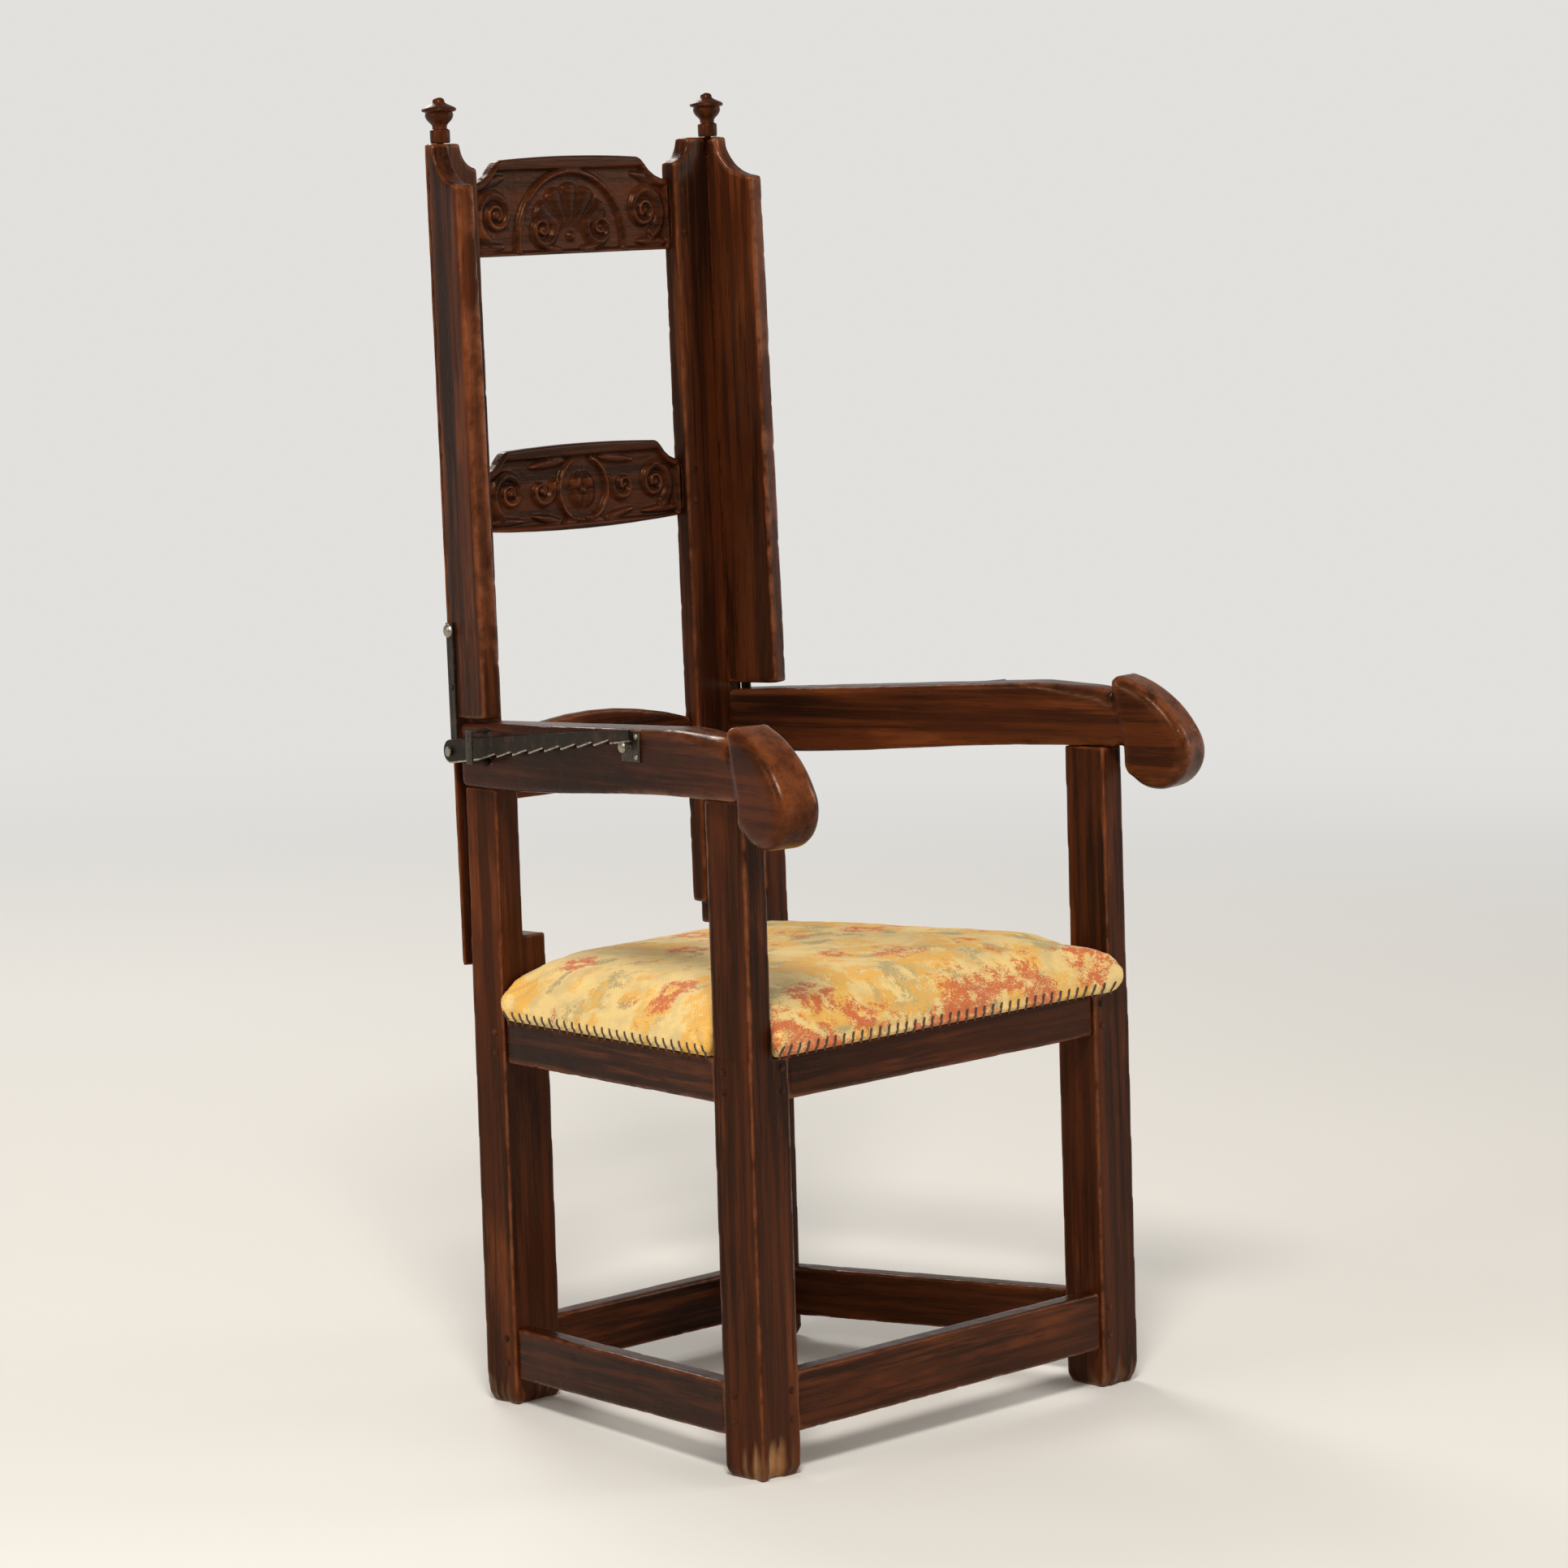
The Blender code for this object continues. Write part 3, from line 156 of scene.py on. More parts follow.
# Shader maths written as sums
class Socket:
    """An output of a finish's node that can be used in sums."""

    def __init__(self, finish, output):
        self.finish = finish
        self.output = output

    def maths(self, operation, *others):
        """A Math node on this socket and others."""
        return self.finish.node("ShaderNodeMath", {"operation": operation}, dict(enumerate((self, *others))))

    def __add__(self, other):
        return self.maths("ADD", other)

    __radd__ = __add__

    def __mul__(self, other):
        return self.maths("MULTIPLY", other)

    __rmul__ = __mul__

    def __sub__(self, other):
        return self.maths("SUBTRACT", other)

    def __rsub__(self, other):
        return (self * -1) + other

    def sine(self):
        """Sine of this value."""
        return self.maths("SINE")

    def clamp(self):
        """This value held between nought and one."""
        return self.finish.node("ShaderNodeClamp", {}, {0: self})

    def step(self, low, high):
        """Smooth step from low to high."""
        return self.finish.node("ShaderNodeMapRange", {"interpolation_type": "SMOOTHSTEP"},
                                {0: self, 1: low, 2: high, 3: 0.0, 4: 1.0})


class Finish:
    """A material or a world that is being put together."""

    def __init__(self, owner):
        owner.use_nodes = True
        self.material = owner
        self.tree = owner.node_tree
        self.shader = next(node for node in self.tree.nodes if node.type in {"BSDF_PRINCIPLED", "BACKGROUND"})

    def node(self, kind, settings, inputs, output=0):
        """Add a node with its settings and its inputs, and give one of its outputs."""
        made = self.tree.nodes.new(kind)
        for key, value in settings.items():
            setattr(made, key, value)
        for key, value in inputs.items():
            self.join(made.inputs[key], value)
        return Socket(self, made.outputs[output])

    def join(self, target, value):
        """Link a socket to an input, or set the input's own value."""
        if isinstance(value, Socket):
            self.tree.links.new(value.output, target)
        else:
            target.default_value = value

    def attribute(self, name, output="Fac"):
        """An attribute of the piece."""
        return self.node("ShaderNodeAttribute", {"attribute_name": name}, {}, output)

    def noise(self, vector, scale, detail=3.0, roughness=0.55):
        """Noise along a vector."""
        return self.node("ShaderNodeTexNoise", {}, {"Vector": vector, "Scale": scale, "Detail": detail,
                                                    "Roughness": roughness})

    def axes(self, vector):
        """The first two parts of a vector."""
        split = self.node("ShaderNodeSeparateXYZ", {}, {0: vector})
        return split, Socket(self, split.output.node.outputs[1])

    def stretch(self, vector, factors):
        """A vector drawn out by three factors."""
        return self.node("ShaderNodeVectorMath", {"operation": "MULTIPLY"}, {0: vector, 1: factors})

    def mix(self, share, first, second):
        """Mix two colours."""
        first, second = [(*c, 1.0) if not isinstance(c, Socket) else c for c in (first, second)]
        return self.node("ShaderNodeMix", {"data_type": "RGBA"}, {0: share, 6: first, 7: second}, 2)

    def bump(self, height, strength, distance):
        """Raise the surface by a height."""
        inputs = {"Height": height, "Strength": strength, "Distance": distance}
        self.set("Normal", self.node("ShaderNodeBump", {}, inputs))

    def set(self, name, value):
        """Set or link one of the shader's inputs."""
        self.join(self.shader.inputs[name], value)


def oak_finish(made, tint):
    """Waxed oak: long grain and pores, darker in hollows and on the arms' outer sides towards the rear,
    redder and brighter where hands and time rub it and where painted light falls on the rims of the arms'
    scrolls.
    """
    grain, wear_and_light, raw = made.attribute("grain", "Vector"), made.attribute("wear_and_light"), made.attribute("raw")
    figure = made.noise(made.stretch(grain, (3.0, 78.0, 78.0)), 1.0, 6.0, 0.66)
    patches = made.noise(made.stretch(grain, (2.4, 10.0, 10.0)), 1.0, 4.0, 0.60)
    pores = made.noise(made.stretch(grain, (30.0, 620.0, 620.0)), 1.0, 2.0).step(0.56, 0.70)
    scuffs = made.noise(grain, 48.0, 6.0, 0.70)
    streaks = figure.step(0.42, 0.60)
    tone = (streaks * 0.62 + patches.step(0.36, 0.66) * 0.55 - 0.08).clamp()
    base = made.mix(tone, tint.oak_dark, tint.oak)
    warm = streaks * made.noise(made.stretch(grain, (3.4, 14.0, 14.0)), 1.7, 3.0).step(0.52, 0.70)
    base = made.mix(warm * 0.40, base, tint.oak_worn_and_lit)
    # Worn edges and places that hands rub, with the painted light on the rims of the arms' scrolls
    rubbed_and_lit = (wear_and_light.step(0.30, 1.25) * scuffs.step(0.28, 0.64)).clamp()
    base = made.mix(rubbed_and_lit * 0.85, base, tint.oak_worn_and_lit)
    base = made.mix(pores * 0.55, base, tint.oak_dark)
    # Darker in hollows, and on the arms' outer sides towards the rear
    base = made.mix((wear_and_light * -1).step(0.08, 0.85) * 0.80, base, tint.oak_dark)
    base = made.mix((raw * (scuffs + 0.40)).clamp(), base, tint.oak_raw)
    made.set("Base Color", base)
    made.set("Roughness", (figure * 0.26 + 0.15 - rubbed_and_lit * 0.06 + pores * 0.15 + raw * 0.3).clamp())
    made.set("Specular IOR Level", 0.14)
    made.set("Coat Weight", rubbed_and_lit * 0.42)
    made.set("Coat Roughness", 0.19)
    made.set("Specular Tint", (1.0, 0.55, 0.30, 1.0))
    made.bump(figure * 0.6 - pores * 0.7 + scuffs * 0.25, 0.28, 0.0010)


def iron_finish(made, tint):
    """Forged iron: dark and a little rusty, bright where it is worn and at the painted highlights on the
    teeth.
    """
    place = made.node("ShaderNodeTexCoord", {}, {}, "Object")
    wear_and_light = made.attribute("wear_and_light")
    scale = made.noise(place, 260.0, 4.0)
    rust = made.noise(place, 90.0, 4.0).step(0.50, 0.68)
    base = made.mix(rust * 0.85, tint.iron, tint.rust)
    # Worn edges and heads, with the painted highlights on the points of the teeth
    rubbed_and_lit = (wear_and_light.step(0.15, 0.9) * scale.step(0.25, 0.55)).clamp()
    made.set("Base Color", made.mix(rubbed_and_lit, base, tint.iron_worn_and_lit))
    made.set("Metallic", (0.92 - rust * 0.35).clamp())
    made.set("Roughness", (scale * 0.25 + 0.36 - rubbed_and_lit * 0.16 + rust * 0.12).clamp())
    made.bump(scale, 0.35, 0.0004)


def needlework_finish(made, tint):
    """Wool needlework on canvas: fine slanted stitches in flowers on a cream ground."""
    cloth = made.attribute("cloth", "Vector")
    gold, red, green = (made.attribute(name) for name in ("gold", "red", "green"))
    faded, gaps = (0.55, 0.41, 0.20), (0.30, 0.22, 0.12)
    u, v = made.axes(cloth)
    count = 2 * pi / CANVAS_PITCH
    rows, files = (v * count).sine(), (u * count).sine()
    slant = ((u + v) * (count * 0.5)).sine()
    stitch = rows * 0.35 + files * 0.35 + slant * 0.30
    cells = made.node("ShaderNodeTexVoronoi", {}, {"Vector": cloth, "Scale": 520.0}, "Color")
    shade = made.node("ShaderNodeSeparateColor", {}, {0: cells}, 0)
    wander = made.noise(cloth, 34.0, 5.0, 0.6)
    speck = (shade - 0.5) * 0.55
    base = made.mix((wander.step(0.42, 0.70) * 0.6).clamp(), tint.cream, faded)
    base = made.mix((green + speck).step(0.30, 0.80) * 0.80, base, tint.green)
    base = made.mix((gold + speck).step(0.28, 0.82) * 0.90, base, tint.gold)
    base = made.mix((red + speck).step(0.30, 0.82) * 0.92, base, tint.red)
    base = made.mix((stitch * -1).step(0.10, 0.95) * 0.30, base, gaps)
    made.set("Base Color", base)
    made.set("Roughness", (shade * 0.12 + 0.80).clamp())
    made.set("Sheen Weight", 0.12)
    made.bump(stitch * 0.5 + shade * 0.3, 0.55, 0.0006)


def thread_finish(made, tint):
    """Waxed linen thread, twisted."""
    place = made.node("ShaderNodeTexCoord", {}, {}, "Object")
    twist = made.noise(place, 900.0, 2.0)
    lit = (0.11, 0.07, 0.045)
    made.set("Base Color", made.mix(twist.step(0.35, 0.7), tint.thread, lit))
    made.set("Roughness", twist * 0.2 + 0.6)
    made.bump(twist, 0.5, 0.0004)


def jute_finish(made, tint):
    """Jute webbing, woven over and under."""
    cloth = made.attribute("cloth", "Vector")
    shadow = (0.17, 0.11, 0.055)
    u, v = made.axes(cloth)
    count = 2 * pi / WEBBING_PITCH
    weave = (u * count).sine() * (v * count).sine()
    fibre = made.noise(made.stretch(cloth, (60.0, 700.0, 60.0)), 1.0, 3.0)
    made.set("Base Color", made.mix((fibre * 0.7 + weave * 0.25).step(0.10, 0.62), shadow, tint.jute))
    made.set("Roughness", 0.9)
    made.bump(weave * 0.6 + fibre * 0.4, 0.6, 0.0007)


FINISHES = {"waxed_oak": oak_finish, "forged_iron": iron_finish, "needlework": needlework_finish,
            "hem_thread": thread_finish, "jute_webbing": jute_finish}


def finish(name):
    """A finish by its name, made when it is first asked for."""
    material = bpy.data.materials.get(f"{name}_finish")
    if not material:
        material = bpy.data.materials.new(f"{name}_finish")
        FINISHES[name](Finish(material), colours())
    return material


# Handling of meshes
def only(made):
    """Select one object and make it the active one."""
    bpy.ops.object.select_all(action="DESELECT")
    made.select_set(True)
    bpy.context.view_layer.objects.active = made


def edit(made):
    """Enter edit mode on one object with all of it selected."""
    only(made)
    bpy.ops.object.mode_set(mode="EDIT")
    bpy.ops.mesh.select_all(action="SELECT")


def leave():
    """Leave edit mode."""
    bpy.ops.object.mode_set(mode="OBJECT")


def apply_all(made):
    """Apply an object's modifiers in order."""
    only(made)
    for modifier in list(made.modifiers):
        bpy.ops.object.modifier_apply(modifier=modifier.name)


def read(items, field, width=3, kind=np.float32):
    """One field of all of a mesh's items, as rows."""
    rows = np.empty(len(items) * width, kind)
    items.foreach_get(field, rows)
    return rows.reshape(-1, width)


def spots(mesh):
    """A mesh's points as rows."""
    return read(mesh.vertices, "co").astype(float)


def put(mesh, rows):
    """Give a mesh's points new places."""
    mesh.vertices.foreach_set("co", rows.astype(np.float32).ravel())
    mesh.update()


def facing(mesh):
    """The normals of a mesh's points."""
    return read(mesh.vertex_normals, "vector").astype(float)


def links(mesh):
    """The pairs of points that a mesh's edges join."""
    return read(mesh.edges, "vertices", 2, np.int32)


def within(rows, place):
    """Rows as one of the chair's frames has them."""
    undo = np.array(place.inverted())
    return rows @ undo[:3, :3].T + undo[:3, 3]


def outside(rows, place):
    """Rows of one of the chair's frames as the scene has them."""
    redo = np.array(place)
    return rows @ redo[:3, :3].T + redo[:3, 3]


def relax(rows, pairs, times, share=0.5):
    """Draw each row towards the middle of those it is joined to."""
    first, second = pairs[:, 0], pairs[:, 1]
    count = np.maximum(np.bincount(pairs.ravel(), minlength=len(rows)), 1)
    for _ in range(times):
        total = np.stack([np.bincount(first, rows[second, k], len(rows))
                          + np.bincount(second, rows[first, k], len(rows)) for k in range(rows.shape[1])], 1)
        rows = rows + share * (total / count[:, None] - rows)
    return rows


def noise(rows):
    """Smooth noise from -1 to 1 at each row, the same every time."""
    cell = np.floor(rows).astype(np.int64)
    part = rows - cell
    part = part * part * (3 - 2 * part)
    total = np.zeros(len(rows))
    for corner in range(8):
        step = np.array([corner & 1, corner >> 1 & 1, corner >> 2 & 1])
        key = ((cell + step) * np.array([73856093, 19349663, 83492791])).sum(1)
        key = (key ^ (key >> 13)) * 1274126177
        value = ((key ^ (key >> 16)) & 0xFFFF) / 32767.5 - 1
        total += value * np.where(step, part, 1 - part).prod(1)
    return total


def ramp(rows, low, high):
    """Smooth step of each row from low to high."""
    share = np.clip((rows - low) / (high - low), 0, 1)
    return share * share * (3 - 2 * share)


def keep(mesh, name, rows):
    """Keep numbers or vectors on a mesh's points under a name."""
    kind, field = ("FLOAT", "value") if rows.ndim == 1 else ("FLOAT_VECTOR", "vector")
    made = mesh.attributes.get(name) or mesh.attributes.new(name, kind, "POINT")
    made.data.foreach_set(field, rows.astype(np.float32).ravel())


def add(name, data):
    """A new object of the scene."""
    made = bpy.data.objects.new(name, data)
    bpy.context.scene.collection.objects.link(made)
    return made


def wear_edges(made, width):
    """Round an object's edges a little."""
    bevel = made.modifiers.new("worn", "BEVEL")
    bevel.width = width
    bevel.segments = 2
    bevel.limit_method = "ANGLE"
    bevel.angle_limit = radians(35)


def divide(made, levels, kind="CATMULL_CLARK"):
    """Divide an object's faces."""
    finer = made.modifiers.new("finer", "SUBSURF")
    finer.subdivision_type = kind
    finer.levels = levels
    finer.render_levels = levels
    apply_all(made)


def copy_solid(node, cuts=()):
    """A copy of a solid with its corners joined, cut off at planes given in the chair's frames."""
    made = add(f"{node}_finished", frame["nodes"][node].data.copy())
    made.data.materials.clear()
    edit(made)
    bpy.ops.mesh.remove_doubles(threshold=0.00001)
    for place, point, outwards in cuts:
        bpy.ops.mesh.select_all(action="SELECT")
        bpy.ops.mesh.bisect(plane_co=place @ Vector(point), plane_no=way(place, *outwards),
                            use_fill=True, clear_outer=True)
    leave()
    return made


def even_out(made, step):
    """Give a piece small even faces."""
    only(made)
    made.data.remesh_voxel_size = step
    bpy.ops.object.voxel_remesh()


def weather(made, along, seed, soften=3, scale=0.0010, dents=None, handling_and_light=None):
    """Round a piece's edges as years of use do, and keep its grain and how worn it is, with any painted
    light, on its points.
    """
    mesh = made.data
    pairs = links(mesh)
    rows = relax(spots(mesh), pairs, soften)
    put(mesh, rows)
    normal = facing(mesh)
    bend = ((rows - relax(rows, pairs, 12)) * normal).sum(1) / scale
    wear_and_light = np.clip(relax(bend[:, None], pairs, 1)[:, 0], -1.5, 1.5)
    shift = np.array([0.37, 0.73, 0.19]) * seed
    if dents is None:
        dents = sizes().dents
    uneven = noise(rows * 26 + shift) * 0.6 + noise(rows * 75 + shift) * 0.4
    chips = ramp(noise(rows * 110 + shift) + 0.5 * noise(rows * 40 + shift), 0.25, 0.95)
    chips = chips * ramp(wear_and_light, 0.25, 1.0)
    put(mesh, rows + normal * (uneven * dents - chips * dents * 3.0)[:, None])
    # Places that hands rub grow more worn; on the arms this also paints light on the rims of the scrolls
    if handling_and_light is not None:
        wear_and_light = wear_and_light + handling_and_light(rows, normal) * (0.75 + 0.25 * noise(rows * 18 + shift))
    along = np.array(along.normalized())
    side = np.cross(along, (0.31, 0.52, 0.79))
    side /= np.linalg.norm(side)
    keep(mesh, "grain", rows @ np.stack([along, side, np.cross(along, side)], 1) + shift)
    keep(mesh, "wear_and_light", wear_and_light)
    return rows


def settle(made, body, slot, *nodes, material=None):
    """Give a finished piece its material, its body and the solids that it stands for."""
    only(made)
    bpy.ops.object.shade_smooth()
    made.data.materials.clear()
    made.data.materials.append(finish(material or slot))
    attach(made, body)
    if nodes:
        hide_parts(*nodes)


def plain_piece(node, body, along, seed, cuts=(), handling_and_light=None):
    """Finish a plain oak piece."""
    made = copy_solid(node, cuts)
    even_out(made, sizes().oak_step)
    weather(made, along, seed, handling_and_light=handling_and_light)
    settle(made, body, "waxed_oak", node)


class Build(bpy.types.Operator):
    """Makes one group of the chair's pieces."""

    bl_options = {"REGISTER", "UNDO"}

    def execute(self, context):
        """Make the pieces."""
        self.make()
        return {"FINISHED"}


# Seat frame
class CHAIR_OT_legs(Build):
    """Legs with their posts, worn at the edges and broken at the feet"""

    bl_idname = "chair.legs"
    bl_label = "Legs"

    # Heights of the posts below their tenons, and half the width of a foot
    TOPS = (("front", 0.6492), ("rear", 0.6347))
    FOOT_HALF = 0.027

    def make(self):
        """Finish the four legs."""
        for number, (end, top) in enumerate(self.TOPS):
            for side, sign in SIDES:
                node = f"{end}_leg_{side}"
                made = copy_solid(node, [(CHAIR, (0, 0, top), (0, 0, 1))])
                even_out(made, sizes().oak_step)
                self.break_foot(made, weather(made, UP, 3 + number * 2 + sign), node)
                settle(made, "frame", "waxed_oak", node)

    def break_foot(self, made, rows, node):
        """Round a foot and break chips from its corners, down to raw wood at the foot that stood worst."""
        low, high = (np.array(c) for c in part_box(node))
        middle = (low[:2] + high[:2]) / 2
        height = rows[:, 2]
        out = (rows[:, :2] - middle) / self.FOOT_HALF
        if node == "front_leg_right":
            corner = ramp(out @ np.array([-0.55, -0.80]), 0.55, 1.15)
            reach, lost, bare = 0.034, 1.0, 0.9
        else:
            corner = ramp(np.hypot(*out.T), 0.95, 1.40)
            reach, lost, bare = 0.020, 0.45, 0.22
        shift = 7.0 * (low[0] + 2 * low[1])
        splits = noise(np.stack([rows[:, 0] * 210, rows[:, 1] * 210, rows[:, 2] * 12 + shift], 1))
        broken = ramp(reach + 0.020 * splits - height, 0.0, 0.016) * corner * ramp(splits, -0.6, 0.5)
        inwards = np.concatenate([middle - rows[:, :2], np.zeros((len(rows), 1))], 1)
        inwards /= np.linalg.norm(inwards, axis=1)[:, None]
        loss = sizes().foot_wear * broken * lost
        toe = 0.0045 * ramp(0.014 - height, 0, 0.014) ** 2
        moved = rows + inwards * (loss + toe)[:, None]
        moved[:, 2] = np.maximum(moved[:, 2], 0.0)
        put(made.data, moved)
        keep(made.data, "raw", np.clip(broken * bare, 0, 1))


class CHAIR_OT_rails(Build):
    """Seat rails and stretchers"""

    bl_idname = "chair.rails"
    bl_label = "Rails and stretchers"

    # Where the rails end at their tenons: half the length of the cross rails, and the ends of the side rails
    HALVES = (("front", 0.2297), ("rear", 0.1497))
    FRONT, REAR = 0.0503, 0.4017
    TAPER = 0.070

    def make(self):
        """Finish the four seat rails and the four stretchers."""
        seed = 20
        side_cuts = [(CHAIR, (0, self.FRONT, 0), (0, -1, 0)), (CHAIR, (0, self.REAR, 0), (0, 1, 0))]
        for kind in ("seat_rail", "stretcher"):
            for end, half in self.HALVES:
                cuts = [(CHAIR, (sign * half, 0, 0), (sign, 0, 0)) for sign in (-1, 1)]
                plain_piece(f"{end}_{kind}", "frame", ACROSS, seed, cuts)
                seed += 1
            for side, sign in SIDES:
                along = way(CHAIR, -sign * self.TAPER, self.REAR - self.FRONT, 0)
                plain_piece(f"side_{kind}_{side}", "frame", along, seed, side_cuts)
                seed += 1


def quarter_round(depth, side, radius):
    """Depths below two faces that meet, moved on to a round between the faces."""
    reach = np.hypot(radius - depth, radius - side) + 1e-9
    return radius - radius * (radius - depth) / reach, radius - radius * (radius - side) / reach


class CHAIR_OT_arms(Build):
    """Arms with scrolled ends, polished by hands, with painted light on the rims of their scrolls"""

    bl_idname = "chair.arms"
    bl_label = "Arms"

    # The scroll in the arm's own frame, ahead and up: its two arcs, the angle at which one follows the other,
    # its rear face, and how that face leans above its foot
    LARGE, LARGE_RADIUS = (0.0070, 0.6090), 0.1170
    SMALL, SMALL_RADIUS = (0.0776, 0.6450), 0.0378
    TURN = radians(27)
    REAR, REAR_LEAN, REAR_FOOT = 0.043, 0.2253, 0.6545
    # The sharp tip at the top of the rear face, the inward ways of its two faces, and its rounding
    TIP, TIP_RADIUS = (0.0273, 0.7242), 0.0120
    TIP_REAR, TIP_TOP = (0.9755, 0.2197), (-0.1736, -0.9848)
    # The bar behind the scroll: the arc of its nose, and the height and slope of its top
    NOSE, NOSE_RADIUS = (0.007, 0.68275), 0.03325
    BAR_TOP, BAR_SLOPE = 0.716, 0.0393
    SCROLL_HALF, BAR_HALF = 0.0255, 0.0225
    # Where the tip and the nose end, and the spacing of an arm's points
    END, STEP = 0.06, 0.0019

    def make(self):
        """Finish the two arms."""
        for side, sign in SIDES:
            node = f"arm_{side}"
            made = copy_solid(node)
            even_out(made, self.STEP)
            place = arm_frame(sign)
            self.round_nose(made, place)
            self.round_off(made, place)

            def handling_and_light(rows, normal):
                """Hands rub the top of the arm and the rim of its scroll; the rim that looks up is also
                brightened as painted light, and the outer side is darker towards the rear.
                """
                ahead = -within(rows, place)[:, 1]
                across = normal @ np.array(way(place, sign, 0, 0))
                # Faces of the rim and top that look up rather than sideways: brightened partly by hands and
                # partly as painted light
                rim = ramp(1 - np.abs(across), 0.15, 0.8) * ramp(normal[:, 2], -0.6, 0.5)
                # Darker on the arm's outer side towards its rear
                outer_rear_darkening = ramp(across, 0.3, 0.9) * (1 - ramp(ahead, -0.22, -0.12))
                rubbed_and_lit = 0.15 + 0.45 * ramp(ahead, -0.12, 0.03) + 0.40 * ramp(ahead, 0.03, 0.06)
                return 0.42 * ramp(ahead, -0.24, -0.10) + rubbed_and_lit * rim - 0.75 * outer_rear_darkening

            weather(made, way(place, 0, -1, 0), 40 + sign, soften=8, handling_and_light=handling_and_light)
            settle(made, "frame", "waxed_oak", node)

    def round_nose(self, made, place):
        """Let the bar fall away and round over before its scroll."""
        across, behind, z = within(spots(made.data), place).T
        ahead = -behind
        nose = np.sqrt(np.maximum(self.NOSE_RADIUS ** 2 - (ahead - self.NOSE[0]) ** 2, 0))
        crown = np.where(ahead < self.NOSE[0], self.BAR_TOP + self.BAR_SLOPE * np.minimum(ahead, 0),
                         self.NOSE[1] + nose)
        bar = (z < crown + 0.0006) & (np.abs(across) < self.BAR_HALF + 0.0004) & (ahead < self.END)
        share = bar * ramp(ahead, -0.075, 0.025)
        fall = 0.0065 * share
        z = z - fall * ramp(z, 0.670, 0.704)
        depth, side, radius = crown - fall - z, self.BAR_HALF - np.abs(across), 0.005 + 0.011 * share
        near = (share > 0) & (depth < radius) & (side < radius) & (depth > -0.002)
        deep, aside = quarter_round(depth, side, radius)
        z = np.where(near, crown - fall - deep, z)
        across = np.where(near, np.sign(across) * (self.BAR_HALF - aside), across)
        put(made.data, outside(np.stack([across, -ahead, z], 1), place))

    def round_tip(self, ahead, z):
        """Round the corner where the scroll's top begins, and shift the given places for it."""
        rear, top = np.array(self.TIP_REAR), np.array(self.TIP_TOP)
        first = (ahead - self.TIP[0]) * rear[0] + (z - self.TIP[1]) * rear[1]
        second = self.LARGE_RADIUS - np.hypot(ahead - self.LARGE[0], z - self.LARGE[1])
        radius = self.TIP_RADIUS
        near = (np.maximum(first, second) < radius) & (np.minimum(first, second) > -0.002)
        near &= ahead < self.END
        turned = np.stack([radius - first, radius - second], 1)
        scale = np.max(turned, axis=1) / (np.linalg.norm(turned, axis=1) + 1e-9)
        change = np.where(near[:, None], turned * (1 - scale[:, None]), 0)
        shift = change @ np.linalg.inv(np.stack([rear, top])).T
        ahead += shift[:, 0]
        z += shift[:, 1]

    def round_off(self, made, place):
        """Round the scroll's two edges broadly."""
        across, behind, z = within(spots(made.data), place).T
        ahead = -behind
        self.round_tip(ahead, z)
        large, small = np.array(self.LARGE), np.array(self.SMALL)
        over = np.arctan2(z - large[1], ahead - large[0]) > self.TURN
        inwards = np.where(over[:, None], large, small) - np.stack([ahead, z], 1)
        far = np.linalg.norm(inwards, axis=1)
        inwards /= far[:, None]
        depth = np.where(over, self.LARGE_RADIUS, self.SMALL_RADIUS) - far
        flat = ~over & (z < small[1]) & (ahead - self.REAR < depth)
        depth = np.where(flat, ahead - self.REAR, depth)
        inwards[flat] = (1.0, 0.0)
        side = self.SCROLL_HALF - np.abs(across)
        radius = sizes().scroll_edge
        near = (np.maximum(depth, side) < radius) & (np.minimum(depth, side) > -0.003)
        past = ahead - (self.REAR - self.REAR_LEAN * (z - self.REAR_FOOT))
        share = np.maximum(ramp(past, 0.002, 0.014), 1 - ramp(z, 0.636, 0.650))
        share = np.where(near, share, 0) * ramp(past, -0.003, 0.0)
        deep, aside = quarter_round(depth, side, radius)
        move = share * (deep - depth)
        ahead, z = ahead + inwards[:, 0] * move, z + inwards[:, 1] * move
        across = np.sign(across) * (self.SCROLL_HALF - (side + share * (aside - side)))
        put(made.data, outside(np.stack([across, -ahead, z], 1), place))


# Reclining back
class CHAIR_OT_uprights(Build):
    """Stiles and wings of the back"""

    bl_idname = "chair.uprights"
    bl_label = "Stiles and wings"

    def make(self):
        """Finish the stiles and the wings."""
        for side, sign in SIDES:
            forward = np.array(way(BACK, -sign * sin(SPLAY), -cos(SPLAY), 0))

            def handling_and_light(rows, normal):
                """Shoulders and hands rub the front edge of a wing."""
                return 0.85 * ramp(normal @ forward, 0.5, 0.95) * ramp(noise(rows * 14), -0.5, 0.4)

            plain_piece(f"stile_{side}", "back", BACK_UP, 50 + sign)
            plain_piece(f"wing_{side}", "back", BACK_UP, 53 + sign, handling_and_light=handling_and_light)


# Millimetres, in which the carving is drawn from the foot of its rail
MM = 0.001


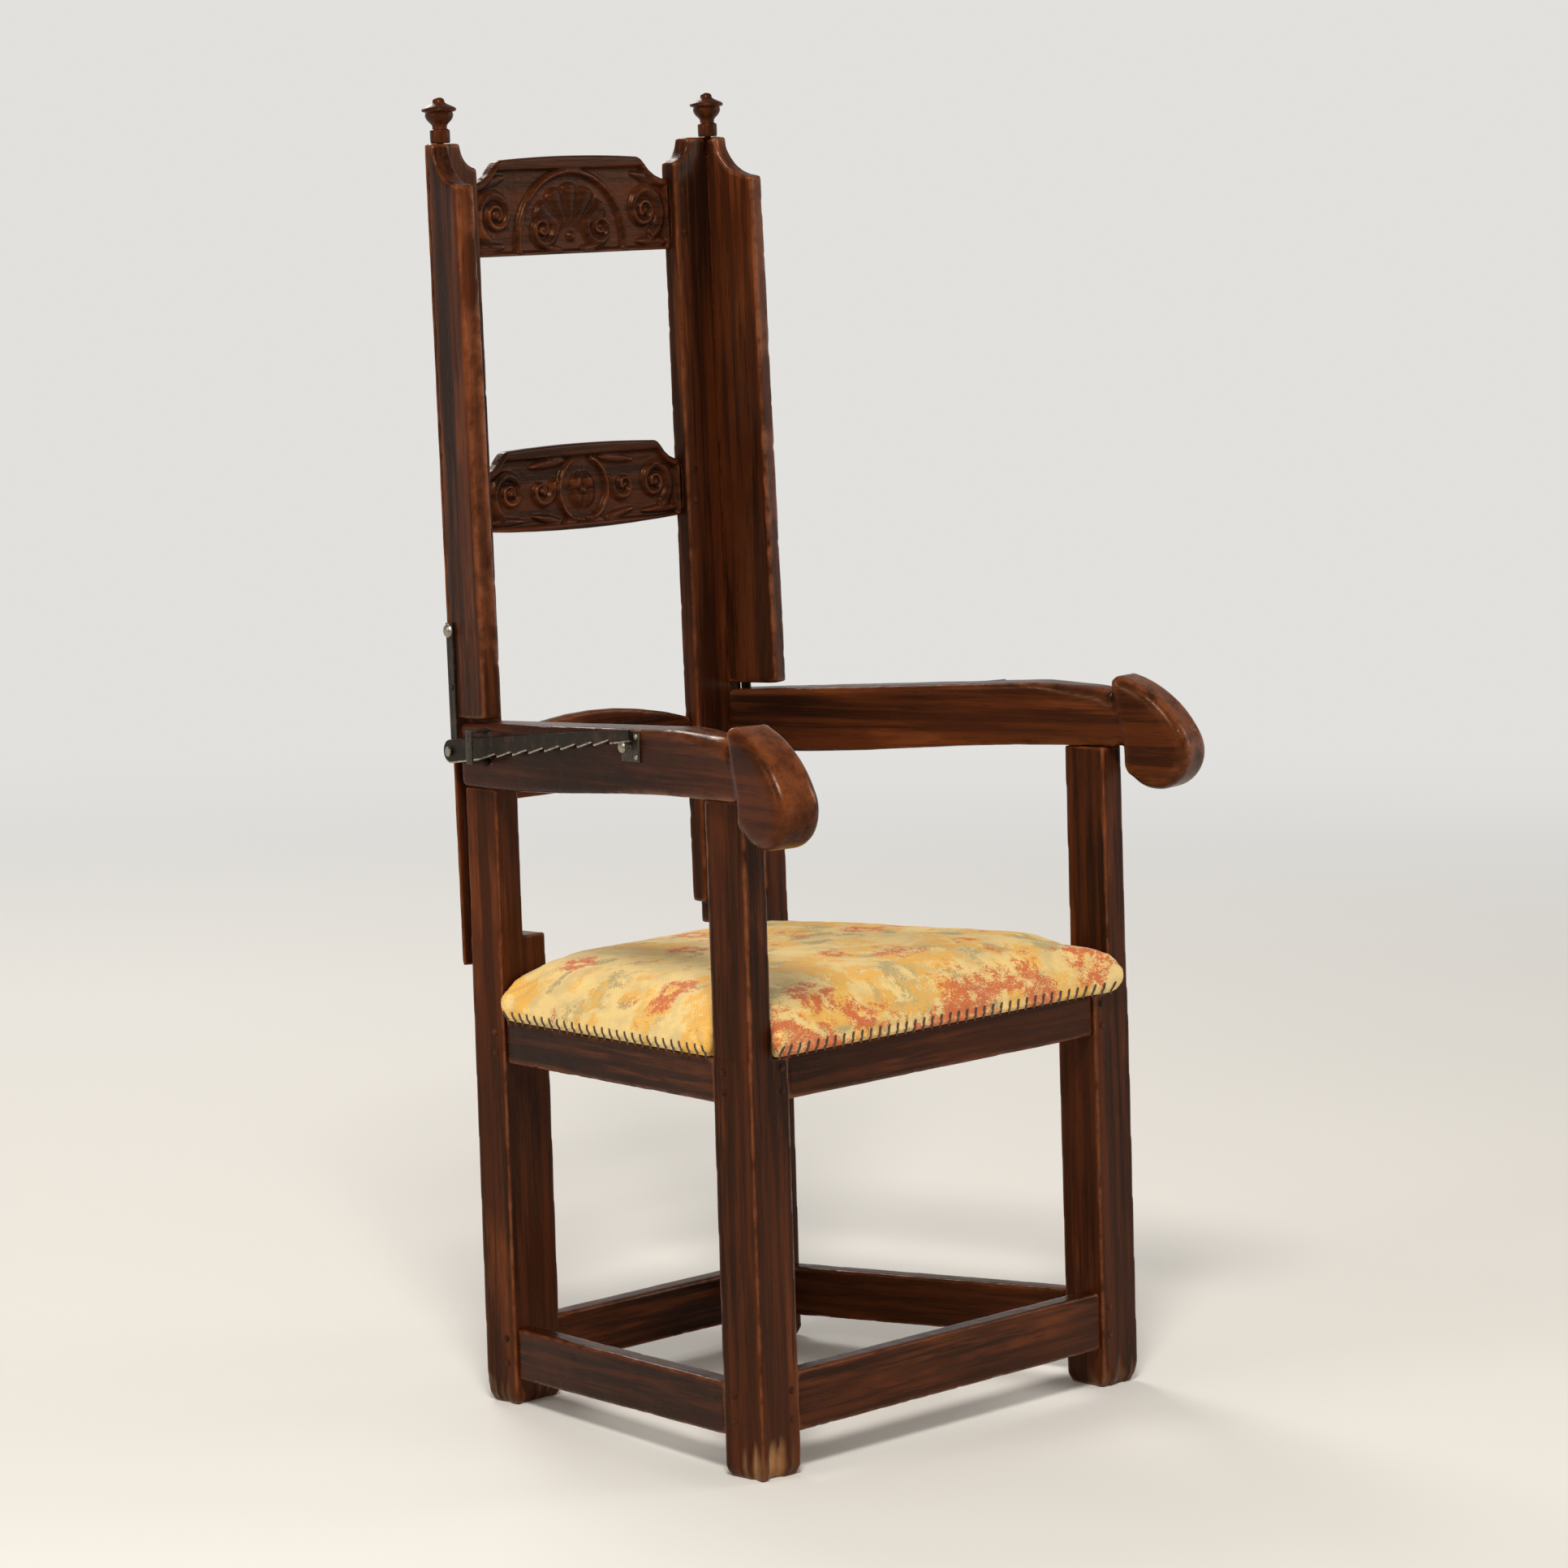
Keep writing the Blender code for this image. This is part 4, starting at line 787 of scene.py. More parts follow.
def spiral(x, z, middle, reach, turns, start, hand, width):
    """Height of a carved volute that winds in to its eye."""
    dx, dz = (x - middle[0]) * hand, z - middle[1]
    r = np.hypot(dx, dz) + 1e-9
    angle = (np.arctan2(dz, dx) - start) % (2 * pi)
    pitch = np.log(5.0) / (2 * pi * turns)
    height = np.zeros_like(x)
    for turn in range(int(turns) + 2):
        winding = angle + 2 * pi * turn
        line = reach * np.exp(-pitch * winding)
        ridge = 1 - ((r - line * (1 - width / 2)) / (line * width / 2 + 0.0006)) ** 2
        height = np.maximum(height, np.where(winding <= 2 * pi * turns, ridge, 0))
    eye = 1 - (r / (reach * 0.17)) ** 2
    return np.clip(np.maximum(height, 1.1 * eye), 0, 1)


def band(x, z, middle, radii, width, start, end):
    """Height of a carved round band along part of an ellipse."""
    dx, dz = (x - middle[0]) / radii[0], (z - middle[1]) / radii[1]
    r, angle = np.hypot(dx, dz), np.arctan2(dz, dx)
    along = (angle - start) % (2 * pi)
    ridge = 1 - ((r - 1) * min(radii) / (width / 2)) ** 2
    return np.where(along <= end - start, np.clip(ridge, 0, 1), 0)


def leaf(x, z, root, tip, width):
    """Height of a carved leaf from its root to its tip."""
    axis = np.array(tip) - np.array(root)
    size = np.hypot(*axis)
    t = ((x - root[0]) * axis[0] + (z - root[1]) * axis[1]) / size ** 2
    off = ((z - root[1]) * axis[0] - (x - root[0]) * axis[1]) / size
    half = width / 2 * np.sqrt(np.clip(np.sin(pi * np.clip(t, 0, 1) ** 0.75), 0, 1)) + 1e-6
    body = np.clip(1 - (off / half) ** 2, 0, 1)
    return np.where((t > 0) & (t < 1), body * (0.75 + 0.25 * np.abs(off / half)), 0)


def both_sides(x, z, spirals, leaves):
    """Heights of volutes and leaves on each side of a rail's middle, given in millimetres and degrees."""
    made = []
    for hand in (-1, 1):
        for across, up, reach, turns, start, width in spirals:
            middle = (hand * across * MM, up * MM)
            made.append(spiral(x, z, middle, reach * MM, turns, radians(start), hand, width))
        for share, root, tip, width in leaves:
            root, tip = ((hand * across * MM, up * MM) for across, up in (root, tip))
            made.append(share * leaf(x, z, root, tip, width * MM))
    return made


# Each carving gives its height, then the lower, upper and side bounds of its ground, then the height of the
# rail's top and the width and drop of its scooped ends
def crest_carving(x, z):
    """A fluted shell under an arch, with a volute on each side of its foot and a scroll beyond the arch."""
    dx, dz = x * 0.92, z - 17 * MM
    r, angle = np.hypot(dx, dz), np.degrees(np.arctan2(dz, dx))
    flute = (angle - 22) / 136 * 5
    lobe = np.sqrt(np.clip(1 - (2 * (flute - np.floor(flute)) - 1) ** 2, 0, 1))
    rim = 52 * MM + 5 * MM * lobe
    shell = lobe * ramp(r, 8 * MM, 20 * MM) * (1 - ramp(r, rim - 5 * MM, rim))
    shell = np.where((flute > 0) & (flute < 5), shell, 0)
    parts = [shell ** 1.5 * (0.40 + 0.60 * r / (54 * MM)),
             band(x, z, (0, 12 * MM), (77 * MM, 72 * MM), 9 * MM, radians(-8), radians(188)),
             np.clip(1 - (np.hypot(dx, z - 18 * MM) / (6 * MM)) ** 2, 0, 1)]
    parts += both_sides(x, z, ((42, 26, 27, 1.5, 165, 0.50), (108, 42, 38, 1.9, -75, 0.46)),
                        ((0.9, (139, 8), (96, 10), 12), (0.9, (14, 5), (40, 7), 7),
                         (0.8, (136, 70), (92, 80), 13)))
    return np.maximum.reduce(parts), (2 * MM, 88 * MM, 141 * MM), (97 * MM, 43 * MM, 24 * MM)


def middle_carving(x, z):
    """A rosette of four petals in two C-scrolls, with a ring and a scroll on each side."""
    dx, dz = x, z - 35 * MM
    r, angle = np.hypot(dx, dz), np.arctan2(dz, dx)
    petals = np.abs(np.cos(2 * (angle - radians(45)))) ** 0.5
    parts = [np.clip(1 - ((r - 12 * MM) / (8.5 * MM)) ** 2, 0, 1) * petals,
             np.clip(1.1 - (r / (4.5 * MM)) ** 2, 0, 1)]
    for turn in (pi, 0):
        parts.append(band(x, z, (0, 36 * MM), (35 * MM, 33 * MM), 7 * MM, turn - 1.15, turn + 1.2))
    parts += both_sides(x, z, ((60, 37, 25, 1.3, 150, 0.52), (106, 37, 34, 1.8, -70, 0.46)),
                        ((0.9, (6, 6), (30, 3), 8), (0.9, (34, 4), (74, 12), 10),
                         (0.9, (26, 67), (76, 62), 11), (0.9, (138, 9), (86, 8), 10)))
    return np.maximum.reduce(parts), (0.5 * MM, 72 * MM, 141 * MM), (80 * MM, 34 * MM, 21 * MM)


class CHAIR_OT_back_rails(Build):
    """Crest and middle rails with carved fronts, and the plain lower rail"""

    bl_idname = "chair.back_rails"
    bl_label = "Back rails"

    # Heights of the rails' feet, with their carving if any
    RAILS = ((60, "crest_rail", 1.162, crest_carving), (61, "middle_back_rail", 0.885, middle_carving),
             (62, "lower_back_rail", 0.612, None))
    HALF, TENON = 0.142, 0.1432
    # Scooped end of a carved rail, inwards from its end: share of its width, and of its drop
    EAR = ((0, 1), (0.20, 0.96), (0.42, 0.81), (0.62, 0.57), (0.78, 0.27), (0.90, 0.08), (1, 0))
    EAR_BORDER, GROUND_SLOPE = 0.006, 0.0030

    def make(self):
        """Finish and carve the three rails of the back."""
        cuts = [(BACK, (sign * self.TENON, 0, 0), (sign, 0, 0)) for sign in (-1, 1)]
        for seed, node, foot, carving in self.RAILS:
            made = copy_solid(node, cuts)
            even_out(made, sizes().carving_step if carving else sizes().oak_step)
            if carving:
                self.carve(made, foot - HINGE_HEIGHT, carving)
            weather(made, ACROSS, seed, soften=2, scale=0.0011 if carving else 0.0010,
                    dents=0.00015 if carving else None)
            settle(made, "back", "waxed_oak", node)

    def carve(self, made, foot, carving):
        """Sink the ground of the carving into the front of a rail."""
        mesh = made.data
        rows, normal = spots(mesh), facing(mesh)
        local = within(rows, BACK)
        x, z = local[:, 0], local[:, 2] - foot
        height, (low, high, side), (top, ear_width, ear_drop) = carving(x, z)
        ear = np.interp((self.HALF - np.abs(x)) / ear_width, *np.array(self.EAR).T)
        rim = top - ear_drop * ear - self.EAR_BORDER
        edge = np.minimum.reduce([z - low, high - z, side - np.abs(x), rim - z])
        ground = ramp(edge, 0.0, self.GROUND_SLOPE)
        height = height + 0.05 * noise(rows * 260)
        inwards = np.array(way(BACK, 0, 1, 0))
        front = ramp(-(normal @ inwards), 0.6, 0.9)
        sink = sizes().carving_depth * ground * (1 - np.clip(height, 0, 1)) * front
        put(mesh, rows + sink[:, None] * inwards)


class CHAIR_OT_finials(Build):
    """Turned finials on the stiles"""

    bl_idname = "chair.finials"
    bl_label = "Finials"

    # Radius and height of the turned profile, as shares of the finial's own, and its foot in the back's frame
    PROFILE = ((0, 1), (0.12, 0.997), (0.22, 0.985), (0.30, 0.962), (0.34, 0.935), (0.345, 0.905),
               (0.38, 0.880), (0.50, 0.850), (0.70, 0.815), (0.90, 0.778), (0.985, 0.752), (1, 0.725),
               (0.975, 0.700), (0.90, 0.686), (0.80, 0.676), (0.785, 0.655), (0.815, 0.625), (0.80, 0.575),
               (0.74, 0.525), (0.64, 0.475), (0.52, 0.430), (0.44, 0.395), (0.42, 0.350), (0.425, 0.315),
               (0.50, 0.300), (0.56, 0.285), (0.575, 0.260), (0.575, 0.060), (0.56, 0.020), (0.53, 0),
               (0.19, 0), (0.19, -0.39), (0, -0.39))
    RADIUS, HEIGHT = 0.0175, 0.0455
    FOOT_Y, FOOT_HEIGHT = 0.004, 0.8303

    def make(self):
        """Turn the two finials."""
        points = [(self.RADIUS * r, 0, self.HEIGHT * z) for r, z in self.PROFILE]
        for side, sign in SIDES:
            node = f"finial_{side}"
            low, high = (BACK.inverted() @ Vector(c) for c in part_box(node))
            foot = BACK @ Vector(((low.x + high.x) / 2, self.FOOT_Y, self.FOOT_HEIGHT))
            mesh = bpy.data.meshes.new(f"{node}_finished")
            mesh.from_pydata(points, [(i, i + 1) for i in range(len(points) - 1)], [])
            made = add(mesh.name, mesh)
            edit(made)
            bpy.ops.mesh.spin(steps=56, angle=2 * pi, center=(0, 0, 0), axis=(0, 0, 1))
            bpy.ops.mesh.select_all(action="SELECT")
            bpy.ops.mesh.remove_doubles(threshold=0.00001)
            bpy.ops.mesh.normals_make_consistent(inside=False)
            leave()
            mesh.transform(Matrix.Translation(foot) @ BACK.to_3x3().to_4x4())
            weather(made, BACK_UP, 70 + sign, soften=0, scale=0.0080, dents=0.0)
            settle(made, "back", "waxed_oak", node)


class CHAIR_OT_pegs(Build):
    """Oak pegs that hold the tenons"""

    bl_idname = "chair.pegs"
    bl_label = "Pegs"

    # Height of each rail's middle, and its two pegs' distance from it
    FRAME_ROWS = ((0.3785, 0.011), (0.063, 0.014))
    BACK_ROWS = ((1.2005, 0.022), (0.9155, 0.016), (0.642, 0.016))
    # The legs' faces: place across and along the seat, share of that distance, and the way they look
    FRAME_FACES = ((0.2405, 0, 1.0, 0, -1), (0.1600, 0.4445, 1.0, 0, 1),
                   (0.284, 0.036, 0.9, 1, 0), (0.214, 0.414, 0.9, 1, 0))
    STILE_X, STILE_Y = 0.1545, 0.0050
    LENGTH, SUNK = 0.008, 0.0032

    def make(self):
        """Set two pegs at each rail's end, their heads a little proud."""
        frame_seats, back_seats = [], []
        for sign in (-1, 1):
            for z, gap in self.FRAME_ROWS:
                for up in (-gap, gap):
                    for x, y, share, out, along in self.FRAME_FACES:
                        frame_seats.append((CHAIR, (sign * x, y, z + up * share), (sign * out, along, 0)))
            for z, gap in self.BACK_ROWS:
                for up in (-gap, gap):
                    point = (sign * self.STILE_X, self.STILE_Y, z + up - HINGE_HEIGHT)
                    back_seats.append((BACK, point, (0, -1, 0)))
        self.pegs("frame_pegs", frame_seats, "frame")
        self.pegs("back_pegs", back_seats, "back")

    def pegs(self, name, seats, body):
        """Model a peg at each seat and join them."""
        heads = []
        for place, point, outwards in seats:
            out = way(place, *outwards)
            bpy.ops.object.select_all(action="DESELECT")
            bpy.ops.mesh.primitive_cylinder_add(vertices=9, radius=sizes().peg_radius, depth=self.LENGTH,
                                                location=place @ Vector(point) - out * self.SUNK,
                                                rotation=out.to_track_quat("Z", "Y").to_euler())
            head = bpy.context.active_object
            wear_edges(head, 0.0007)
            apply_all(head)
            bpy.ops.object.transform_apply(location=True, rotation=True, scale=True)
            heads.append(head)
        only(heads[0])
        for head in heads:
            head.select_set(True)
        bpy.ops.object.join()
        made = bpy.context.active_object
        made.name = name
        made.data.name = name
        rows = spots(made.data)
        keep(made.data, "grain", rows * np.array([1.0, 0.2, 1.0]) + 3.1)
        keep(made.data, "wear_and_light", np.full(len(rows), 0.25) + 0.3 * noise(rows * 90))
        settle(made, body, "waxed_oak")


# Ironwork
class CHAIR_OT_ironwork(Build):
    """Hinges, straps, toothed bars, catches and rests"""

    bl_idname = "chair.ironwork"
    bl_label = "Ironwork"

    def make(self):
        """Finish every iron piece."""
        bodies = frame["record"]["behaviour"]["bodies"]
        iron = [row["node"] for row in frame["record"]["subparts"] if row["material_slot"] == "forged_iron"]
        for node in sorted(iron):
            body = next(name for name, members in bodies.items() if node in members)
            made = copy_solid(node)
            if node.startswith("rack_bar"):
                self.toothed(made)
            else:
                self.soften(made, 0.0004)
                keep(made.data, "wear_and_light", self.rubbed_and_lit(node, spots(made.data)))
            settle(made, body, "forged_iron", node)
            bpy.ops.object.shade_smooth_by_angle(angle=radians(38))

    def soften(self, made, width):
        """Round the edges of a forged piece and divide its faces."""
        edit(made)
        bpy.ops.mesh.dissolve_limited(angle_limit=radians(1.0))
        leave()
        wear_edges(made, width)
        cut = made.modifiers.new("cut", "TRIANGULATE")
        cut.quad_method = "BEAUTY"
        apply_all(made)

    def toothed(self, made):
        """Even out a toothed bar, rub its edges bright, and brighten the points of its teeth, partly as worn
        metal and partly as a painted highlight.
        """
        even_out(made, sizes().iron_step)
        mesh = made.data
        pairs = links(mesh)
        rows = relax(spots(mesh), pairs, 1)
        put(mesh, rows)
        normal = facing(mesh)
        bend = ((rows - relax(rows, pairs, 10)) * normal).sum(1) / 0.0005
        # Points of the teeth: partly worn bright, partly a painted highlight
        worn_and_lit_tips = ramp((relax(rows, pairs, 45) - rows) @ np.array(UP), 0.0002, 0.0010)
        keep(mesh, "wear_and_light", np.clip(relax((0.30 * bend + 1.1 * worn_and_lit_tips)[:, None], pairs, 2)[:, 0], -1, 1.5))

    def rubbed_and_lit(self, node, rows):
        """How far a piece is rubbed bright: most at the heads that stand proud."""
        if node.startswith(("strap_knob", "rest_rivet", "rest_stud", "rack_pin")):
            return np.full(len(rows), 0.62)
        return np.full(len(rows), 0.30 if node.startswith(("catch_staple", "rest_plate")) else 0.24)


# Seat
class CHAIR_OT_webbing(Build):
    """Woven webbing under the seat"""

    bl_idname = "chair.webbing"
    bl_label = "Webbing"

    # Straps between the rails: half their width and depth, where their middle lies, and how far it sags
    HALF_WIDTH, HALF_DEPTH, MIDDLE, SAG = 0.24, 0.195, 0.222, 0.006

    def make(self):
        """Finish the straps under the pad, sagging a little between the rails."""
        made = copy_solid("seat_webbing")
        edit(made)
        bpy.ops.mesh.subdivide(number_cuts=3)
        leave()
        divide(made, 2, "SIMPLE")
        rows = spots(made.data)
        local = within(rows, CHAIR)
        middle = (np.clip(1 - (local[:, 0] / self.HALF_WIDTH) ** 2, 0, 1)
                  * np.clip(1 - ((local[:, 1] - self.MIDDLE) / self.HALF_DEPTH) ** 2, 0, 1))
        put(made.data, rows - np.array([0, 0, 1]) * (self.SAG * middle)[:, None])
        keep(made.data, "cloth", local)
        settle(made, "frame", "jute_webbing", "seat_webbing")
        bpy.ops.object.shade_smooth_by_angle(angle=radians(40))


class CHAIR_OT_seat(Build):
    """Stuffed seat pad with its needlework cover and stitched hem"""

    bl_idname = "chair.seat"
    bl_label = "Seat pad"

    # Flowers of the cover: place across and along the seat, size and turn
    FLOWERS = {
        "red": ((-0.170, 0.020, 0.030, 0.3), (-0.130, -0.010, 0.026, 1.4), (-0.235, 0.145, 0.026, 1.1),
                (0.060, -0.012, 0.024, 0.8), (0.215, -0.004, 0.032, 0.2), (-0.090, 0.265, 0.028, 1.9),
                (0.120, 0.215, 0.028, 2.3), (0.010, 0.345, 0.028, 0.5), (-0.180, 0.330, 0.024, 0.9),
                (0.175, 0.370, 0.024, 1.4), (-0.030, 0.120, 0.024, 2.7)),
        "gold": ((0.010, 0.060, 0.034, 0.1), (0.190, 0.105, 0.040, 0.7), (-0.130, 0.150, 0.034, 1.3),
                 (0.060, 0.270, 0.040, 2.0), (-0.060, 0.390, 0.034, 0.4), (0.110, 0.080, 0.034, 1.0),
                 (-0.235, 0.060, 0.028, 0.6), (0.200, 0.270, 0.036, 1.7), (-0.080, 0.045, 0.028, 2.2),
                 (0.130, 0.310, 0.030, 0.2), (-0.015, 0.215, 0.038, 1.5), (0.150, 0.020, 0.026, 2.5)),
    }
    # The pad in the chair's frame: its underside, its front and rear, and half its width between the posts
    FOOT, FRONT, REAR = 0.4006, -0.0048, 0.4405
    FRONT_HALVES, POSTS_REAR = (0.2500, 0.2520), 0.0515
    # Blocks that clear the posts: from and to, across and along the seat
    POSTS = ((0.2500, 0.3200, -0.0016, 0.0520), (0.1480, 0.2600, 0.3990, 0.4700))
    # Four runs of the hem: start, end and the way it faces
    RUNS = (((-0.2560, -0.030, 0), (0.2700, -0.030, 0), (0, -1, 0)),
            ((-0.3210, 0.0535, 0), (-0.2520, 0.3985, 0), (-1, 0, 0)),
            ((0.2520, 0.3985, 0), (0.3210, 0.0535, 0), (1, 0, 0)),
            ((0.1450, 0.4700, 0), (-0.1450, 0.4700, 0), (0, 1, 0)))
    # How far the filling may move a point, and the foot and slant of a stitch
    MOST_SWELL, RAIL_TOP, SLANT = 0.0055, 0.4000, 0.004

    def make(self):
        """Model the pad, fill it, and stitch its hem."""
        pad = self.pad()
        self.cover(pad)
        settle(pad, "frame", "needlework", "seat_pad")
        self.hem(pad)

    def half_width(self, y):
        """Half the pad's width behind the front posts."""
        return 0.2815 - (y - 0.0503) * 0.1992

    def shape(self, co):
        """Place of a point of the pad in the chair's frame, from a cube's point."""
        a, b, rise = np.sin(pi / 2 * co[:, 0]), np.sin(pi / 2 * co[:, 1]), (co[:, 2] + 1) / 2
        y = self.FRONT + (self.REAR - self.FRONT) * (b + 1) / 2
        half = np.where(y < self.POSTS_REAR, np.where(a < 0, *self.FRONT_HALVES), self.half_width(y))
        crown = (1 - np.abs(a) ** 6) * (1 - np.abs(b) ** 6)
        z = rise * (sizes().pad_edge + (sizes().pad_crown - sizes().pad_edge) * crown)
        lip = ramp(a * half, 0.212, 0.236) * (1 - ramp(b, -0.98, -0.90))
        swell = 0.0085 * np.sin(pi * rise ** 0.8) - 0.0090 * ramp(rise, 0.55, 1.0) * (1 - 0.85 * lip)
        return np.stack([a * (half + swell), y + b * (swell + 0.0035 * lip), self.FOOT + z], 1)

    def pad(self):
        """A cube shaped to a crowned pad, notched round the posts and swelled by its filling."""
        bpy.ops.object.select_all(action="DESELECT")
        bpy.ops.mesh.primitive_cube_add(size=2, location=(0, 0, 0))
        pad = bpy.context.active_object
        pad.name = "seat_cover"
        pad.data.name = "seat_cover"
        edit(pad)
        bpy.ops.mesh.subdivide(number_cuts=31)
        leave()
        put(pad.data, self.shape(spots(pad.data)))
        self.notch(pad)
        even_out(pad, sizes().pad_step)
        pad.data.transform(CHAIR)
        put(pad.data, relax(spots(pad.data), links(pad.data), 2))
        self.fill(pad)
        divide(pad, 1)
        return pad

    def notch(self, pad):
        """Cut the pad round the four posts."""
        for sign in (-1, 1):
            for x0, x1, y0, y1 in self.POSTS:
                middle = (sign * (x0 + x1) / 2, (y0 + y1) / 2, 0.45)
                bpy.ops.object.select_all(action="DESELECT")
                bpy.ops.mesh.primitive_cube_add(size=1, location=middle, scale=(x1 - x0, y1 - y0, 0.2))
                block = bpy.context.active_object
                cut = pad.modifiers.new("notch", "BOOLEAN")
                cut.operation = "DIFFERENCE"
                cut.object = block
                cut.solver = "EXACT"
                apply_all(pad)
                bpy.data.objects.remove(block)

    def fill(self, pad):
        """Swell the cover with pressure, held at its hem, and limit how far it may move."""
        mesh = pad.data
        start = spots(mesh)
        local = within(start, CHAIR)
        held = pad.vertex_groups.new(name="hem")
        held.add([int(i) for i in np.nonzero(local[:, 2] - self.FOOT < 0.007)[0]], 1.0, "REPLACE")
        cloth = pad.modifiers.new("filling", "CLOTH")
        wool = {"quality": 6, "mass": 0.25, "tension_stiffness": 12, "compression_stiffness": 12,
                "bending_stiffness": 0.6, "vertex_group_mass": "hem", "use_pressure": True,
                "uniform_pressure_force": 3.0, "shrink_min": -0.012}
        for key, value in wool.items():
            setattr(cloth.settings, key, value)
        cloth.settings.effector_weights.gravity = 0
        cloth.collision_settings.use_collision = False
        steps = sizes().fill_steps
        cloth.point_cache.frame_start = 1
        cloth.point_cache.frame_end = steps
        scene = bpy.context.scene
        for step in range(1, steps + 1):
            scene.frame_set(step)
        apply_all(pad)
        scene.frame_set(1)
        move = spots(mesh) - start
        far = np.linalg.norm(move, axis=1)
        move *= np.minimum(1, self.MOST_SWELL / np.maximum(far, 1e-9))[:, None]
        x, y = np.abs(local[:, 0]), local[:, 1]
        front = ramp(x, 0.236, 0.248) * (1 - ramp(y, 0.054, 0.066))
        rear = ramp(x, 0.135, 0.146) * ramp(y, 0.384, 0.396)
        put(mesh, start + move * (1 - 0.9 * np.maximum(front, rear))[:, None])

    def runs(self):
        """The runs of the hem as vectors."""
        return [[Vector(part) for part in run] for run in self.RUNS]

    def cover(self, pad):
        """Pull the hem in at its stitches, work the flowers and keep them on the cover's points."""
        mesh = pad.data
        rows, normal = spots(mesh), facing(mesh)
        local = within(rows, CHAIR)
        x, y, rise = local[:, 0], local[:, 1], local[:, 2] - self.FOOT
        pull = np.zeros(len(x))
        for start, end, outwards in self.runs():
            along = np.array((end - start).normalized())
            place = (local - np.array(start)) @ along / sizes().stitch_pitch - 0.5
            off = np.abs(place - np.round(place)) * sizes().stitch_pitch
            faces = ramp(normal @ np.array(way(CHAIR, *outwards)), 0.35, 0.8)
            pull = np.maximum(pull, faces * np.exp(-(off / 0.0030) ** 2))
        pull *= 1 - ramp(rise, 0.007, 0.016)
        lumps = 0.0011 * noise(rows * 34) + 0.0004 * noise(rows * 95)
        put(mesh, rows + normal * (lumps * ramp(rise, 0.008, 0.030) - 0.0017 * pull)[:, None])
        drop = np.clip(0.436 - local[:, 2], 0, 0.04)
        half = self.half_width(np.clip(y, 0.05, 0.44))
        u = x + np.sign(x) * drop * ramp(np.abs(x), half - 0.014, half)
        v = y - drop * (1 - ramp(y, -0.002, 0.012)) + drop * ramp(y, 0.43, 0.44)
        keep(mesh, "cloth", np.stack([u, v, local[:, 2]], 1))
        wools = self.flowers(u, v)
        soft = relax(np.stack(list(wools.values()), 1), links(mesh), 2)
        for name, rows in zip(wools, soft.T):
            keep(mesh, name, rows)

    def flowers(self, u, v):
        """Shares of gold, red and green wool over the unrolled cover, worn and ragged."""
        flat = np.stack([u, v, np.zeros_like(u)], 1)
        u = u + 0.008 * noise(flat * 19) + 0.004 * noise(flat * 70)
        v = v + 0.008 * noise(flat * 19 + 9.7) + 0.004 * noise(flat * 70 + 5.1)
        masks = {name: np.zeros(len(u)) for name in ("gold", "red", "green")}
        rows = [(kind, *row) for kind, table in self.FLOWERS.items() for row in table]
        for kind, fx, fy, size, turn in rows:
            dx, dy = (u - fx) / size, (v - fy) / size
            r, angle = np.hypot(dx, dy), np.arctan2(dy, dx) - turn
            rim = 0.66 + 0.34 * np.abs(np.cos(2.5 * angle))
            veins = 0.62 + 0.38 * ramp(np.abs(np.sin(2.5 * angle)), 0.1, 0.6)
            petals = (1 - ramp(r, rim - 0.30, rim + 0.22)) * veins
            heart = 1 - ramp(r, 0.12, 0.30)
            other = "gold" if kind == "red" else "red"
            masks[kind] = np.maximum(masks[kind], petals) * (1 - 0.8 * heart)
            masks[other] = np.maximum(masks[other], 0.75 * heart)
            for hand in (-1, 1):
                tip = turn + hand * 2.1
                ahead = dx * cos(tip) + dy * sin(tip)
                off = dy * cos(tip) - dx * sin(tip) - 0.2 * hand * np.sin(pi * np.clip(ahead - 0.6, 0, 1))
                blade = 0.34 * np.sqrt(np.clip(np.sin(pi * np.clip((ahead - 0.6) / 1.15, 0, 1)), 0, 1))
                leaves = np.where(blade > 0, 1 - ramp(np.abs(off) - blade, -0.2, 0.1), 0)
                masks["green"] = np.maximum(masks["green"], leaves)
        wash = np.stack([u * 24, v * 24, np.full_like(u, 2.3)], 1)
        ragged = 0.45 * noise(wash * 2.9) + 0.30 * noise(wash * 7.3)
        edge = 1 - ramp(flat[:, 1], -0.010, 0.045)
        # Washes of each wool over the whole cover, then those along its front edge
        for name, places, most, low, high in (("gold", wash, 0.95, -0.12, 0.50),
                                              ("green", wash + 31.0, 0.85, 0.02, 0.62),
                                              ("red", wash + 57.0, 0.70, 0.34, 0.85),
                                              ("gold", wash * 1.3 + 7.7, 0.75 * edge, -0.35, 0.35),
                                              ("red", wash * 0.9 + 3.9, 0.95 * edge, -0.06, 0.52)):
            masks[name] = np.maximum(masks[name], most * ramp(noise(places) + ragged, low, high))
        worn = 0.5 + 0.5 * noise(flat * 31 + 4.4)
        grit = 0.34 * noise(flat * 260) + 0.22 * noise(flat * 120 + 1.3)
        return {name: np.clip(rows * (0.72 + 0.28 * worn) + grit * (rows > 0.06), 0, 1)
                for name, rows in masks.items()}

